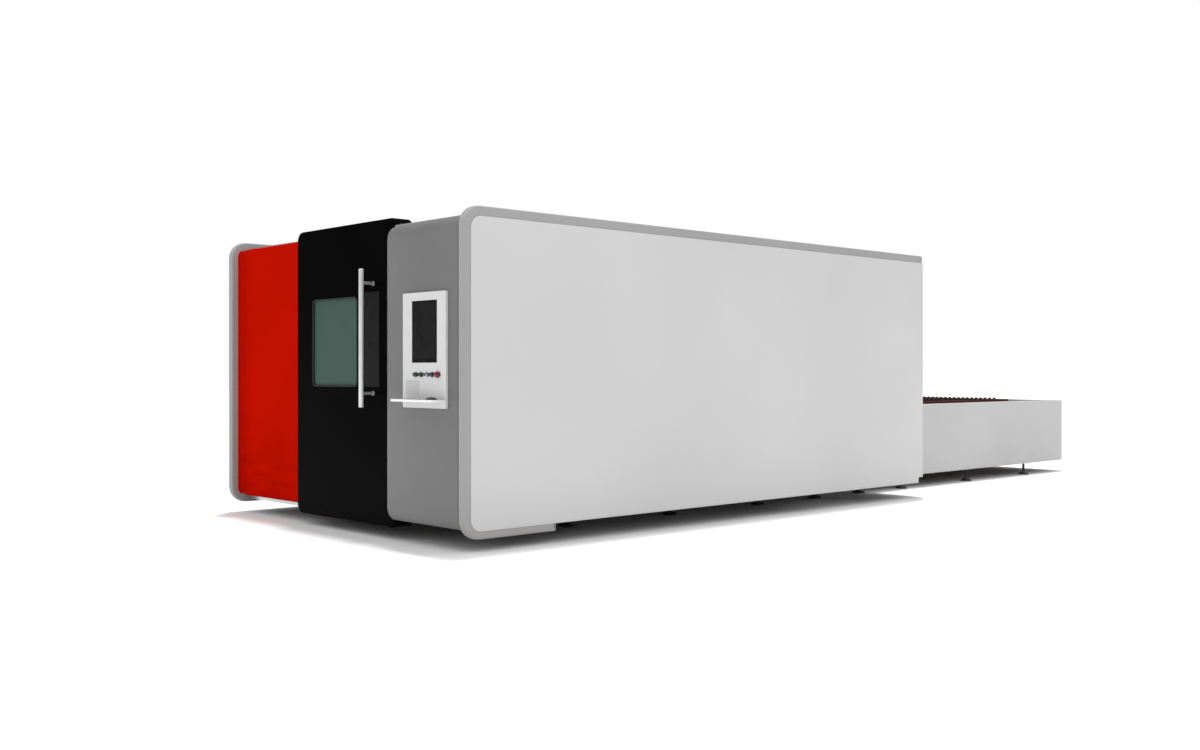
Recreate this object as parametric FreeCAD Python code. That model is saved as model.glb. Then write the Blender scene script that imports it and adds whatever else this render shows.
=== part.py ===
import FreeCAD, Part
import math
import os

# Fiber laser cutting machine with a full enclosure and a two-level pallet exchange table.
# Millimetres. +X runs from the operator's end to the exchange table, +Z is up.
# Stations along the machine are counted from the side frames' front edge ("back"), and
# across it from the right side's outer face ("across"); station() and lane() turn both
# into the part's own frame, whose origin is the middle of the whole box on the floor.

# ---- enclosure ----
enclosure_length = 5200
enclosure_width = 3200
enclosure_height = 2200
side_depth = 65
side_panel_thickness = 4
front_ground_gap = 80
rear_ground_gap = 133
toe_length = 770
frame_corner_radius = 130
frame_member = 120
frame_post = 60
panel_front_border = 55
panel_top_border = 65
panel_corner_radius = 80
tail_notch_length = 70
tail_notch_height = 50
roof_height = 2137
body_bottom = 143
wall_thickness = 30
roof_thickness = 15
roof_panel_count = 3
tube = 60
tube_wall = 4

# ---- console column ----
column_thickness = 35
column_edge = 900
column_top_gap = 14
column_rim_radius = 30
column_corner_radius = 60
cabinet_edge = 820
cabinet_depth = 460
cabinet_wall = 5
header_height = 100
panel_arc = 55
panel_flange_radius = 32
panel_rim_radius = 12
doorway_far_edge = 2000

# ---- sliding door ----
door_width = 1327
door_gap_to_cabinet = 8
door_gap_to_column = 5
door_thickness = 35
door_bottom = 82
door_top = 2195
door_return = 110
door_corner_radius = 70
door_rim_radius = 18
door_travel = 950
window_near_edge = 1305
window_width = 618
window_bottom = 1037
window_height = 641
window_corner_radius = 40
window_thickness = 8
window_rebate = 15
window_clearance = 1.0

# ---- door hardware ----
handle_lane = 1096
handle_diameter = 34
handle_stand_off = 100
handle_bottom = 898
handle_top = 1855
standoff_diameter = 22
standoff_inset = 98
handle_plate_width = 188
handle_plate_lane = 1019
handle_plate_bottom = 1040
handle_plate_top = 1700
handle_plate_thickness = 6
door_rail_width = 20
door_rail_height = 14
door_block_length = 160
door_block_inset = 150
slide_clearance = 0.3
guide_bar_width = 10
guide_groove_clearance = 2
guide_groove_depth = 10

# ---- console ----
bezel_lane = 169
bezel_width = 484
bezel_bottom = 909
bezel_height = 755
bezel_thickness = 18
screen_lane = 264
screen_width = 283
screen_bottom = 1204
screen_height = 405
screen_recess = 3
screen_thickness = 4
tray_reach = 130
tray_top = 967
tray_thickness = 16
tray_sheet = 3
tray_short = 26
keyboard_depth = 84
keyboard_width = 285
keyboard_thickness = 12
mouse_length = 96
mouse_width = 58
mouse_height = 32
button_height = 1127
button_pitch = 62
button_first_lane = 252
button_shaft_radius = 11
button_head_radius = 15
button_head_height = 9
button_travel = 4
button_clearance = 0.2
estop_head_radius = 19
estop_travel = 5
key_blade_height = 22

# ---- machine bed ----
bed_front = 1350
bed_rear_gap = 40
beam_inner = 880
beam_width = 200
beam_bottom = 303
beam_top = 900
beam_wall = 14
base_tube_bottom = 143
base_tube = 80
base_tube_stations = (1400, 2500, 3600, 4400)
last_base_tube_gap = 120
foot_disc_radius = 60
foot_disc_height = 20
foot_stud_radius = 14
bed_foot_lane = 980

# ---- gantry ----
gantry_park = 1880
gantry_travel = 3020
gantry_rail_width = 30
gantry_rail_height = 25
gantry_rail_spare = 30
block_length = 110
block_width = 70
block_height = 38
saddle_thickness = 40
saddle_length = 460
gantry_depth = 260
gantry_height = 260
gantry_wall = 12
magnet_width = 50
magnet_height = 8
cross_rail_size = 24
cross_rail_offset = 75
cross_rail_spare = 100

# ---- cutting head ----
carriage_width = 300
carriage_height = 250
carriage_thickness = 30
carriage_travel = 700
slide_width = 180
slide_thickness = 20
slide_spare = 200
slide_rib_width = 20
slide_rib_depth = 12
slide_rib_lane = 60
head_travel = 300
head_body_radius = 50
nozzle_tip_height = 955
nozzle_length = 70
head_body_length = 330

# ---- pallets ----
pallet_length = 3016
pallet_half_width = 790
pallet_rest_gap = 15
pallet_inside = 1690
pallet_frame_height = 100
pallet_tube = 60
upper_frame_bottom = 735
pallet_level_drop = 210
slat_thickness = 5
slat_pitch = 100
slat_height = 80
slat_tooth_pitch = 56
slat_tooth_depth = 18
slat_above_frame = 20
ledge_width = 30
ledge_thickness = 8
wheel_radius = 35
wheel_width = 30
wheel_lane = 810
wheel_end_inset = 400
axle_radius = 12.5
axle_clearance = 0.08

# ---- pallet rails and chain drive ----
rail_inner = 793
rail_flange = 12
rail_leg_height = 60
rail_front = 1670
rail_reach = 3100
rail_joint_gap = 0.5
chain_lane = 848
chain_width = 20
chain_height = 10
chain_clearance = 0.3
idler_station = 1555
drive_offset = 3650
shaft_radius = 20
shaft_clearance = 0.06
shaft_seat_depth = 30
lug_length = 80
lug_height = 20
gearbox_lane = 620
gearbox_size = 150

# ---- exchange table ----
table_length = 3810
table_half_width = 1033
table_panel_bottom = 124
table_panel_top = 813
table_sheet = 4
table_post_depth = 80
table_post_offsets = (564, 1770, 2976)
table_low_tube_bottom = 200
table_foot_disc_radius = 55

# ---- inside the enclosure ----
scrap_tray_length = 1180
scrap_tray_width = 1500
scrap_tray_height = 150
scrap_tray_wall = 4
scrap_tray_stations = (2000, 3280)
equipment_depth = 380
equipment_gap = 20
laser_source_length = 880
laser_source_height = 1050
electrical_cabinet_length = 900
electrical_cabinet_height = 1500
mouth_half_width = 960
mouth_top = 1010

# ---- derived ----
overall_length = tray_reach + enclosure_length + table_length
front_edge = tray_reach - overall_length / 2
right_face = -enclosure_width / 2
inner_face = enclosure_width / 2 - side_depth
frame_face = enclosure_width / 2 - side_panel_thickness
bed_rear = enclosure_length - bed_rear_gap
all_base_tubes = base_tube_stations + (enclosure_length - last_base_tube_gap,)
rail_rear = enclosure_length + rail_reach
drive_station = enclosure_length + drive_offset
table_foot_stations = [enclosure_length + offset for offset in table_post_offsets]
table_post_stations = table_foot_stations + [drive_station]
door_face = column_thickness + door_gap_to_column
door_back = door_face + door_thickness
door_near_edge = cabinet_edge + door_gap_to_cabinet
door_return_end = door_back + door_return
front_frame_front = 115
front_frame_back = 190
gantry_rail_top = beam_top + gantry_rail_height
saddle_bottom = gantry_rail_top + block_height - gantry_rail_height + 7
saddle_top = saddle_bottom + saddle_thickness
gantry_front = gantry_park - gantry_depth / 2
gantry_rail_front = gantry_park - saddle_length / 2 - gantry_rail_spare
gantry_rail_rear = gantry_park + gantry_travel + saddle_length / 2 + gantry_rail_spare
cross_rail_half_length = carriage_travel + carriage_width / 2 + cross_rail_spare
slide_length = head_travel + slide_spare
rail_top = upper_frame_bottom - 18
wheel_axis = rail_top + wheel_radius + slide_clearance
chain_radius = pallet_level_drop / 2
chain_axis = wheel_axis - chain_radius


def station(back):
    """X of a distance behind the side frames' front edge."""
    return front_edge + back


def lane(across):
    """Y of a distance from the right side's outer face."""
    return right_face + across


def block(x_low, x_high, y_low, y_high, z_low, z_high):
    """Plain box between two corners."""
    return Part.makeBox(x_high - x_low, y_high - y_low, z_high - z_low,
                        FreeCAD.Vector(x_low, y_low, z_low))


def hollow_tube(x_low, x_high, y_low, y_high, z_low, z_high, axis, wall):
    """Rectangular hollow section, open at both ends of the given axis."""
    inset = {"x": (0, wall, wall), "y": (wall, 0, wall), "z": (wall, wall, 0)}[axis]
    outer = block(x_low, x_high, y_low, y_high, z_low, z_high)
    bore = block(x_low + inset[0], x_high - inset[0], y_low + inset[1], y_high - inset[1],
                 z_low + inset[2], z_high - inset[2])
    return outer.cut(bore)


def rod(radius, start, end):
    """Round bar between two points."""
    begin = FreeCAD.Vector(*start)
    along = FreeCAD.Vector(*end).sub(begin)
    return Part.makeCylinder(radius, along.Length, begin, along)


def join(shapes):
    """One solid from touching or overlapping shapes."""
    body = shapes[0]
    for extra in shapes[1:]:
        body = body.fuse(extra)
    return body.removeSplitter()


def mirror_sides(shape):
    """The same shape on the other long side."""
    return shape.mirror(FreeCAD.Vector(0, 0, 0), FreeCAD.Vector(0, 1, 0))


def both_sides(shape):
    """A shape and its twin on the other long side, as separate solids."""
    return [shape, mirror_sides(shape)]


def rounded_plate(points, radii, direction, thickness):
    """Flat plate from a closed outline, each corner rounded by its own radius."""
    edges = []
    count = len(points)
    trimmed = []
    for index in range(count):
        here = FreeCAD.Vector(*points[index])
        before = FreeCAD.Vector(*points[index - 1]).sub(here).normalize()
        after = FreeCAD.Vector(*points[(index + 1) % count]).sub(here).normalize()
        half_turn = before.getAngle(after) / 2
        cut_back = radii[index] / math.tan(half_turn)
        middle_way = before.add(after).normalize()
        reach = radii[index] / math.sin(half_turn) - radii[index]
        trimmed.append((here.add(before * cut_back), here.add(middle_way * reach),
                        here.add(after * cut_back)))
    for index in range(count):
        arc_start, arc_middle, arc_end = trimmed[index]
        if radii[index] > 0:
            edges.append(Part.Arc(arc_start, arc_middle, arc_end).toShape())
        edges.append(Part.LineSegment(arc_end, trimmed[(index + 1) % count][0]).toShape())
    face = Part.Face(Part.Wire(edges))
    return face.extrude(FreeCAD.Vector(*direction) * thickness)


def cross_plate(back, thickness, y_low, y_high, z_low, z_high, radii):
    """Rounded plate standing across the machine, extruded towards the table."""
    points = [(station(back), y_low, z_low), (station(back), y_high, z_low),
              (station(back), y_high, z_high), (station(back), y_low, z_high)]
    return rounded_plate(points, radii, (1, 0, 0), thickness)


def edges_on_plane(shape, axis, value):
    """Edges that lie wholly in one plane across the given axis."""
    low, high = {"x": ("XMin", "XMax"), "y": ("YMin", "YMax"), "z": ("ZMin", "ZMax")}[axis]
    found = []
    for edge in shape.Edges:
        box = edge.BoundBox
        if abs(getattr(box, low) - value) < 1e-4 and abs(getattr(box, high) - value) < 1e-4:
            found.append(edge)
    return found


def export(name, solids):
    """Write one node's STEP file."""
    shape = solids if not isinstance(solids, list) else Part.makeCompound(solids)
    shape.exportStep("parts/" + name + ".step")


# ---- enclosure shell ----

def side_frame():
    """Right side frame: a flat welded ring with posts, rounded at its front corners."""
    low_front = front_ground_gap
    points = [(0, low_front), (toe_length, low_front), (toe_length, rear_ground_gap),
              (enclosure_length - tail_notch_length, rear_ground_gap),
              (enclosure_length - tail_notch_length, rear_ground_gap + tail_notch_height),
              (enclosure_length, rear_ground_gap + tail_notch_height),
              (enclosure_length, enclosure_height), (0, enclosure_height)]
    radii = [frame_corner_radius, 6, 3, 3, 3, 6, 20, frame_corner_radius]
    outline = [(station(back), -frame_face, height) for back, height in points]
    plate = rounded_plate(outline, radii, (0, 1, 0), side_depth - side_panel_thickness)
    bay_count = 4
    clear_length = enclosure_length - 2 * frame_member
    bay = (clear_length - (bay_count - 1) * frame_post) / bay_count
    low = rear_ground_gap + tail_notch_height + frame_member
    high = enclosure_height - panel_top_border - frame_member
    for index in range(bay_count):
        begin = frame_member + index * (bay + frame_post)
        window = block(station(begin), station(begin + bay), -enclosure_width, -inner_face + 1,
                       low, high)
        plate = plate.cut(window)
    rim = edges_on_plane(plate, "y", -frame_face)
    return plate.makeChamfer(2, [edge for edge in rim if edge.BoundBox.XMin < station(1)])


def side_panel():
    """Right side's flat sheet, lapped on the frame, rounded at its front corners."""
    front = panel_front_border
    high = enclosure_height - panel_top_border
    points = [(front, rear_ground_gap),
              (enclosure_length - tail_notch_length, rear_ground_gap),
              (enclosure_length - tail_notch_length, rear_ground_gap + tail_notch_height),
              (enclosure_length, rear_ground_gap + tail_notch_height),
              (enclosure_length, high), (front, high)]
    radii = [panel_corner_radius, 3, 3, 6, 6, panel_corner_radius]
    outline = [(station(back), right_face, height) for back, height in points]
    return rounded_plate(outline, radii, (0, 1, 0), side_panel_thickness)


def front_frame():
    """Welded frame round the doorway: header, sill and jamb posts."""
    header_low = roof_height - header_height
    front, back = station(front_frame_front), station(front_frame_back)
    header = block(front, back, lane(cabinet_edge), inner_face, header_low, roof_height)
    header_end = block(station(column_thickness), back, -inner_face, lane(cabinet_edge),
                       header_low, roof_height)
    sill = block(front, back, lane(cabinet_edge), inner_face, body_bottom, body_bottom + tube)
    jamb = block(front, back, lane(doorway_far_edge), lane(doorway_far_edge) + tube,
                 body_bottom, header_low)
    far_post = block(front, back, inner_face - tube, inner_face, body_bottom, header_low)
    return join([header, header_end, sill, jamb, far_post])


def front_panel():
    """Fixed coloured panel beside the doorway, and the cove strip along its far edge."""
    front = front_frame_front - wall_thickness
    near, far = lane(doorway_far_edge), inner_face
    panel = cross_plate(front, wall_thickness, near, far, body_bottom, roof_height,
                        [2, panel_arc, panel_arc, 2])
    panel = panel.makeFillet(panel_rim_radius,
                             [edge for edge in edges_on_plane(panel, "x", station(front))
                              if edge.BoundBox.YMax > near + 3 and
                              edge.BoundBox.ZLength < panel_arc + 1])
    strip = block(station(front - panel_flange_radius), station(front),
                  far - panel_flange_radius, far, body_bottom + panel_arc,
                  roof_height - panel_arc)
    hollow = rod(panel_flange_radius,
                 (station(front - panel_flange_radius), far - panel_flange_radius, body_bottom),
                 (station(front - panel_flange_radius), far - panel_flange_radius, roof_height))
    return [panel, strip.cut(hollow)]


def roof_seams():
    """Stations where roof panels meet, from the header to the rear wall."""
    first = front_frame_back
    last = enclosure_length - wall_thickness
    step = (last - first) / roof_panel_count
    return [first + index * step for index in range(roof_panel_count + 1)]


def roof_frame():
    """Cross tubes under the roof panels' seams, one solid each."""
    seams = roof_seams()
    high = roof_height - roof_thickness
    tubes = []
    for index, seam in enumerate(seams):
        middle = seam
        if index == 0:
            middle = seam + tube / 2
        if index == len(seams) - 1:
            middle = seam - tube / 2
        tubes.append(hollow_tube(station(middle - tube / 2), station(middle + tube / 2),
                                 -inner_face, inner_face, high - tube, high, "y", tube_wall))
    return tubes


def roof_panels():
    """Lift-off roof panels laid on the cross tubes."""
    seams = roof_seams()
    joint = 1
    return [block(station(begin) + joint / 2, station(end) - joint / 2, -inner_face, inner_face,
                  roof_height - roof_thickness, roof_height)
            for begin, end in zip(seams[:-1], seams[1:])]


def rear_side_panels():
    """Rear wall panels on both sides of the pallet mouth."""
    front = enclosure_length - wall_thickness
    panel = block(station(front), station(enclosure_length), -inner_face, -mouth_half_width,
                  body_bottom, roof_height)
    return both_sides(panel)


def rear_top_panel():
    """Rear wall panel above the pallet mouth."""
    front = enclosure_length - wall_thickness
    return block(station(front), station(enclosure_length), -mouth_half_width, mouth_half_width,
                 mouth_top, roof_height)


def foot(back, y_middle, top, disc_radius):
    """Levelling foot: turned disc, jam nut and stud."""
    x_middle = station(back)
    disc = Part.makeCone(disc_radius, disc_radius * 0.6, foot_disc_height,
                         FreeCAD.Vector(x_middle, y_middle, 0), FreeCAD.Vector(0, 0, 1))
    stud = rod(foot_stud_radius, (x_middle, y_middle, foot_disc_height - 1),
               (x_middle, y_middle, top))
    nut_radius = foot_stud_radius * 1.7
    nut_height = foot_stud_radius
    nut = rod(nut_radius, (x_middle, y_middle, top - nut_height), (x_middle, y_middle, top))
    return join([disc, stud, nut])


# ---- console column ----

def console_cabinet():
    """Folded sheet control cabinet behind the column, open towards the column."""
    high = roof_height - header_height
    back = column_thickness + cabinet_depth
    outer = block(station(column_thickness), station(back), -inner_face, lane(cabinet_edge),
                  body_bottom, high)
    inside = block(station(column_thickness), station(back - cabinet_wall),
                   -inner_face + cabinet_wall, lane(cabinet_edge - cabinet_wall),
                   body_bottom + cabinet_wall, high - cabinet_wall)
    return outer.cut(inside)


def console_column():
    """Formed front cover of the column, rounded towards the door."""
    radii = [4, column_corner_radius, column_corner_radius, 4]
    cover = cross_plate(0, column_thickness, -inner_face, lane(column_edge), body_bottom,
                        roof_height - column_top_gap, radii)
    rim = edges_on_plane(cover, "x", station(0))
    return cover.makeFillet(column_rim_radius,
                            [edge for edge in rim if edge.BoundBox.YMax > -inner_face + 5])


def button_lane(index):
    """Lane of the button at this place in the row."""
    return button_first_lane + index * button_pitch


def console_bezel():
    """White moulded bezel with the screen pocket and button holes."""
    front = station(-bezel_thickness)
    bezel = cross_plate(-bezel_thickness, bezel_thickness, lane(bezel_lane),
                        lane(bezel_lane + bezel_width), bezel_bottom,
                        bezel_bottom + bezel_height, [10, 10, 10, 10])
    bezel = bezel.makeFillet(4, edges_on_plane(bezel, "x", front))
    pocket = block(front - 1, front + screen_recess + screen_thickness, lane(screen_lane),
                   lane(screen_lane + screen_width), screen_bottom,
                   screen_bottom + screen_height)
    bezel = bezel.cut(pocket)
    for index in range(5):
        bore = rod(button_shaft_radius + button_clearance,
                   (front - 1, lane(button_lane(index)), button_height),
                   (station(1), lane(button_lane(index)), button_height))
        bezel = bezel.cut(bore)
    return bezel


def console_screen():
    """Glass display panel seated in the bezel's pocket."""
    margin = 0.5
    front = station(-bezel_thickness) + screen_recess
    return block(front, front + screen_thickness, lane(screen_lane) + margin,
                 lane(screen_lane + screen_width) - margin, screen_bottom + margin,
                 screen_bottom + screen_height - margin)


def tray_shelf():
    """Height of the tray's floor, where the keyboard and mouse lie."""
    return tray_top - tray_thickness + tray_sheet


def keyboard_tray():
    """Folded tray on the bezel: a shallow open pan."""
    back = station(-bezel_thickness)
    front = station(-tray_reach)
    low, high = lane(bezel_lane), lane(bezel_lane + bezel_width - tray_short)
    pan = block(front, back, low, high, tray_top - tray_thickness, tray_top)
    return pan.cut(block(front + tray_sheet, back - tray_sheet, low + tray_sheet,
                         high - tray_sheet, tray_shelf(), tray_top + 1))


def keyboard():
    """Compact keyboard body lying on the tray."""
    margin = 10
    front = station(-tray_reach) + margin
    far = lane(bezel_lane + bezel_width - tray_short) - margin
    low = tray_shelf()
    body = block(front, front + keyboard_depth, far - keyboard_width, far, low,
                 low + keyboard_thickness)
    return body.makeFillet(3, edges_on_plane(body, "z", low + keyboard_thickness))


def mouse():
    """Mouse lying beside the keyboard."""
    shelf_top = tray_shelf()
    x_middle = station(-tray_reach) + 10 + mouse_length / 2 - 6
    y_middle = lane(bezel_lane) + 70
    dome = Part.makeSphere(1)
    stretch = FreeCAD.Matrix()
    stretch.scale(mouse_length / 2, mouse_width / 2, mouse_height)
    dome = dome.transformGeometry(stretch)
    dome.translate(FreeCAD.Vector(x_middle, y_middle, shelf_top))
    keep = block(x_middle - mouse_length, x_middle + mouse_length, y_middle - mouse_width,
                 y_middle + mouse_width, shelf_top, shelf_top + mouse_height)
    return dome.common(keep)


def push_button(index, head_radius, head_height, travel):
    """Round button: shaft in the bezel's bore, head standing off by its travel."""
    y_middle = lane(button_lane(index))
    face = station(-bezel_thickness)
    shaft = rod(button_shaft_radius, (face - travel - 1, y_middle, button_height),
                (station(0) - travel - 1, y_middle, button_height))
    head = rod(head_radius, (face - travel - 1, y_middle, button_height),
               (face - travel - 1 - head_height, y_middle, button_height))
    head = head.makeFillet(min(3, head_height / 3),
                           edges_on_plane(head, "x", face - travel - 1 - head_height))
    return join([shaft, head])


def key_switch(index):
    """Turn switch with the key's bow standing out of its barrel."""
    y_middle = lane(button_lane(index))
    face = station(-bezel_thickness)
    shaft = rod(button_shaft_radius, (face - 1, y_middle, button_height),
                (station(0) - 1, y_middle, button_height))
    barrel = rod(button_head_radius, (face - 1, y_middle, button_height),
                 (face - 1 - 6, y_middle, button_height))
    bow = block(face - 7 - key_blade_height, face - 6, y_middle - 1.5, y_middle + 1.5,
                button_height - 9, button_height + 9)
    return join([shaft, barrel, bow])


# ---- sliding door ----

def sliding_door():
    """Hollow-looking C-section door: face skin with returns over and under the body."""
    near, far = lane(door_near_edge), lane(door_near_edge + door_width)
    length = door_thickness + door_return
    outline = cross_plate(door_face, length, near, far, door_bottom, door_top,
                          [door_corner_radius] * 4)
    inside = block(station(door_back), station(door_return_end) + 1, near - 1, far + 1,
                   door_bottom + door_thickness, door_top - door_thickness)
    door = outline.cut(inside)
    door = door.makeFillet(door_rim_radius, edges_on_plane(door, "x", station(door_face)))
    window_low, window_high = lane(window_near_edge), lane(window_near_edge + window_width)
    glass_front = door_face + 12
    door = door.cut(cross_plate(door_face - 1, door_thickness + 2, window_low, window_high,
                                window_bottom, window_bottom + window_height,
                                [window_corner_radius] * 4))
    rebate = cross_plate(glass_front, door_thickness, window_low - window_rebate,
                         window_high + window_rebate, window_bottom - window_rebate,
                         window_bottom + window_height + window_rebate,
                         [window_corner_radius + window_rebate] * 4)
    door = door.cut(rebate)
    groove_middle = station(guide_bar_station())
    half_groove = guide_bar_width / 2 + guide_groove_clearance
    groove = block(groove_middle - half_groove, groove_middle + half_groove, near - 1, far + 1,
                   door_bottom + door_thickness - guide_groove_depth,
                   door_bottom + door_thickness + 1)
    return door.cut(groove)


def door_window():
    """Laser-safe viewing pane seated against the rebate's shoulder."""
    inset = window_rebate - window_clearance
    return cross_plate(door_face + 12, window_thickness, lane(window_near_edge) - inset,
                       lane(window_near_edge + window_width) + inset, window_bottom - inset,
                       window_bottom + window_height + inset,
                       [window_corner_radius + inset] * 4)


def door_handle():
    """Round pull bar on two standoffs that seat on the door's face."""
    x_middle = station(door_face - handle_stand_off)
    y_middle = lane(handle_lane)
    bar = rod(handle_diameter / 2, (x_middle, y_middle, handle_bottom),
              (x_middle, y_middle, handle_top))
    bar = bar.makeChamfer(2, edges_on_plane(bar, "z", handle_bottom) +
                          edges_on_plane(bar, "z", handle_top))
    pieces = [bar]
    for height in (handle_bottom + standoff_inset, handle_top - standoff_inset):
        pieces.append(rod(standoff_diameter / 2, (x_middle, y_middle, height),
                          (station(door_face), y_middle, height)))
    return join(pieces)


def handle_plate():
    """Dark backing plate on the door's face behind the pull bar."""
    plate = cross_plate(door_face - handle_plate_thickness, handle_plate_thickness,
                        lane(handle_plate_lane), lane(handle_plate_lane + handle_plate_width),
                        handle_plate_bottom, handle_plate_top, [8, 8, 8, 8])
    front = station(door_face - handle_plate_thickness)
    return plate.makeChamfer(1.5, edges_on_plane(plate, "x", front))


def door_rail_station():
    """Station of the door rail's middle, over the header."""
    return (front_frame_front + front_frame_back) / 2


def door_rail():
    """Linear rail along the header's top."""
    x_middle = station(door_rail_station())
    return block(x_middle - door_rail_width / 2, x_middle + door_rail_width / 2,
                 lane(door_near_edge), lane(door_near_edge + door_width + door_travel),
                 roof_height, roof_height + door_rail_height)


def door_blocks():
    """Two slide blocks astride the rail, carrying the door by its top return."""
    x_middle = station(door_rail_station())
    top = door_top - door_thickness
    near = lane(door_near_edge)
    blocks = []
    for y_low in (near + door_block_inset, near + door_width - door_block_inset -
                  door_block_length):
        body = block(x_middle - door_rail_width / 2 - 12, x_middle + door_rail_width / 2 + 12,
                     y_low, y_low + door_block_length, roof_height + 2, top)
        slot = block(x_middle - door_rail_width / 2 - slide_clearance,
                     x_middle + door_rail_width / 2 + slide_clearance, y_low - 1,
                     y_low + door_block_length + 1, roof_height + 1,
                     roof_height + door_rail_height + slide_clearance)
        blocks.append(body.cut(slot))
    return blocks


def guide_bar_station():
    """Station of the bottom guide bar, under the sill."""
    return (front_frame_front + front_frame_back) / 2


def door_guide():
    """Bar under the sill that runs in the door's bottom groove."""
    x_middle = station(guide_bar_station())
    bar_low = door_bottom + door_thickness - guide_groove_depth + guide_groove_clearance
    return block(x_middle - guide_bar_width / 2, x_middle + guide_bar_width / 2,
                 lane(cabinet_edge) + tube, lane(door_near_edge + door_width + door_travel),
                 bar_low, body_bottom)


# ---- machine bed ----

def machine_bed():
    """Welded bed: two box beams on base tubes that reach out to the side frames."""
    pieces = []
    for side in (-1, 1):
        y_low, y_high = sorted((side * beam_inner, side * (beam_inner + beam_width)))
        pieces.append(hollow_tube(station(bed_front), station(bed_rear), y_low, y_high,
                                  beam_bottom, beam_top, "x", beam_wall))
    base_top = base_tube_bottom + base_tube
    for back in all_base_tubes:
        x_low, x_high = station(back - base_tube / 2), station(back + base_tube / 2)
        pieces.append(block(x_low, x_high, -inner_face, inner_face, base_tube_bottom, base_top))
        for side in (-1, 1):
            y_low, y_high = sorted((side * beam_inner, side * (beam_inner + beam_width)))
            pieces.append(block(x_low, x_high, y_low, y_high, base_top, beam_bottom))
    bed = join(pieces)
    bearing = rod(shaft_radius + shaft_clearance,
                  (station(idler_station), -beam_inner - shaft_seat_depth, chain_axis),
                  (station(idler_station), beam_inner + shaft_seat_depth, chain_axis))
    return bed.cut(bearing)


def bed_feet():
    """Feet under the bed's base tubes, one below each beam."""
    return [foot(back, side * bed_foot_lane, base_tube_bottom, foot_disc_radius)
            for back in all_base_tubes for side in (-1, 1)]


def gantry_rails():
    """Linear rails on top of the bed's beams."""
    middle = beam_inner + beam_width / 2
    rail = block(station(gantry_rail_front), station(gantry_rail_rear),
                 middle - gantry_rail_width / 2, middle + gantry_rail_width / 2, beam_top,
                 gantry_rail_top)
    return both_sides(rail)


def magnet_tracks():
    """Linear motor magnet tracks beside the rails."""
    outer = beam_inner + beam_width - 6
    track = block(station(gantry_rail_front), station(gantry_rail_rear),
                  outer - magnet_width, outer, beam_top, beam_top + magnet_height)
    return both_sides(track)


# ---- gantry and cutting head ----

def gantry_beam():
    """Box beam across the bed, welded on two saddle plates."""
    half = beam_inner + beam_width - 10
    beam = hollow_tube(station(gantry_front), station(gantry_front + gantry_depth), -half, half,
                       saddle_top, saddle_top + gantry_height, "y", gantry_wall)
    pieces = [beam]
    for side in (-1, 1):
        y_low, y_high = sorted((side * (beam_inner + 10), side * half))
        pieces.append(block(station(gantry_park - saddle_length / 2),
                            station(gantry_park + saddle_length / 2), y_low, y_high,
                            saddle_bottom, saddle_top))
    return join(pieces)


def bearing_blocks():
    """Four bearing blocks astride the gantry rails."""
    middle = beam_inner + beam_width / 2
    blocks = []
    block_low = beam_top + 7
    for end in (-1, 1):
        x_middle = station(gantry_park) + end * (saddle_length - block_length) / 2
        body = block(x_middle - block_length / 2, x_middle + block_length / 2,
                     middle - block_width / 2, middle + block_width / 2, block_low,
                     saddle_bottom)
        slot = block(x_middle - block_length, x_middle + block_length,
                     middle - gantry_rail_width / 2 - slide_clearance,
                     middle + gantry_rail_width / 2 + slide_clearance, block_low - 1,
                     gantry_rail_top + slide_clearance)
        blocks += both_sides(body.cut(slot))
    return blocks


def cross_rail_heights():
    """Middle heights of the two rails on the gantry's front face."""
    middle = saddle_top + gantry_height / 2
    return (middle - cross_rail_offset, middle + cross_rail_offset)


def cross_rails():
    """Two rails along the gantry's front face."""
    front = station(gantry_front)
    return [block(front - cross_rail_size, front, -cross_rail_half_length,
                  cross_rail_half_length, height - cross_rail_size / 2,
                  height + cross_rail_size / 2) for height in cross_rail_heights()]


def carriage_front():
    """Station of the carriage plate's front face."""
    return gantry_front - cross_rail_size - 6 - carriage_thickness


def head_carriage():
    """Carriage plate whose back carries channels astride the cross rails."""
    back = carriage_front() + carriage_thickness
    middle = saddle_top + gantry_height / 2
    half = carriage_width / 2
    plate = block(station(carriage_front()), station(back), -half, half,
                  middle - carriage_height / 2, middle + carriage_height / 2)
    cheek = 14
    for height in cross_rail_heights():
        channel = block(station(back), station(gantry_front - 2), -half, half,
                        height - cross_rail_size / 2 - cheek,
                        height + cross_rail_size / 2 + cheek)
        slot = block(station(gantry_front - cross_rail_size) - slide_clearance,
                     station(gantry_front), -half - 1, half + 1,
                     height - cross_rail_size / 2 - slide_clearance,
                     height + cross_rail_size / 2 + slide_clearance)
        plate = plate.fuse(channel.cut(slot))
    for side in (-1, 1):
        groove = block(station(carriage_front()) - 1,
                       station(carriage_front() + slide_rib_depth) + slide_clearance,
                       side * slide_rib_lane - slide_rib_width / 2 - slide_clearance,
                       side * slide_rib_lane + slide_rib_width / 2 + slide_clearance,
                       middle - carriage_height, middle + carriage_height)
        plate = plate.cut(groove)
    return plate.removeSplitter()


def slide_bottom():
    """Height of the head slide's lower end at rest."""
    return saddle_top + 20


def z_slide():
    """Vertical slide plate with two ribs that run in the carriage's grooves."""
    back = carriage_front() - slide_clearance
    low = slide_bottom()
    plate = block(station(back - slide_thickness), station(back), -slide_width / 2,
                  slide_width / 2, low, low + slide_length)
    pieces = [plate]
    for side in (-1, 1):
        pieces.append(block(station(back), station(back + slide_rib_depth),
                            side * slide_rib_lane - slide_rib_width / 2,
                            side * slide_rib_lane + slide_rib_width / 2, low,
                            low + slide_length))
    return join(pieces)


def head_station():
    """Station of the cutting head's axis, with its clamp pad on the slide."""
    return carriage_front() - slide_clearance - slide_thickness - head_body_radius - 10


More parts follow.
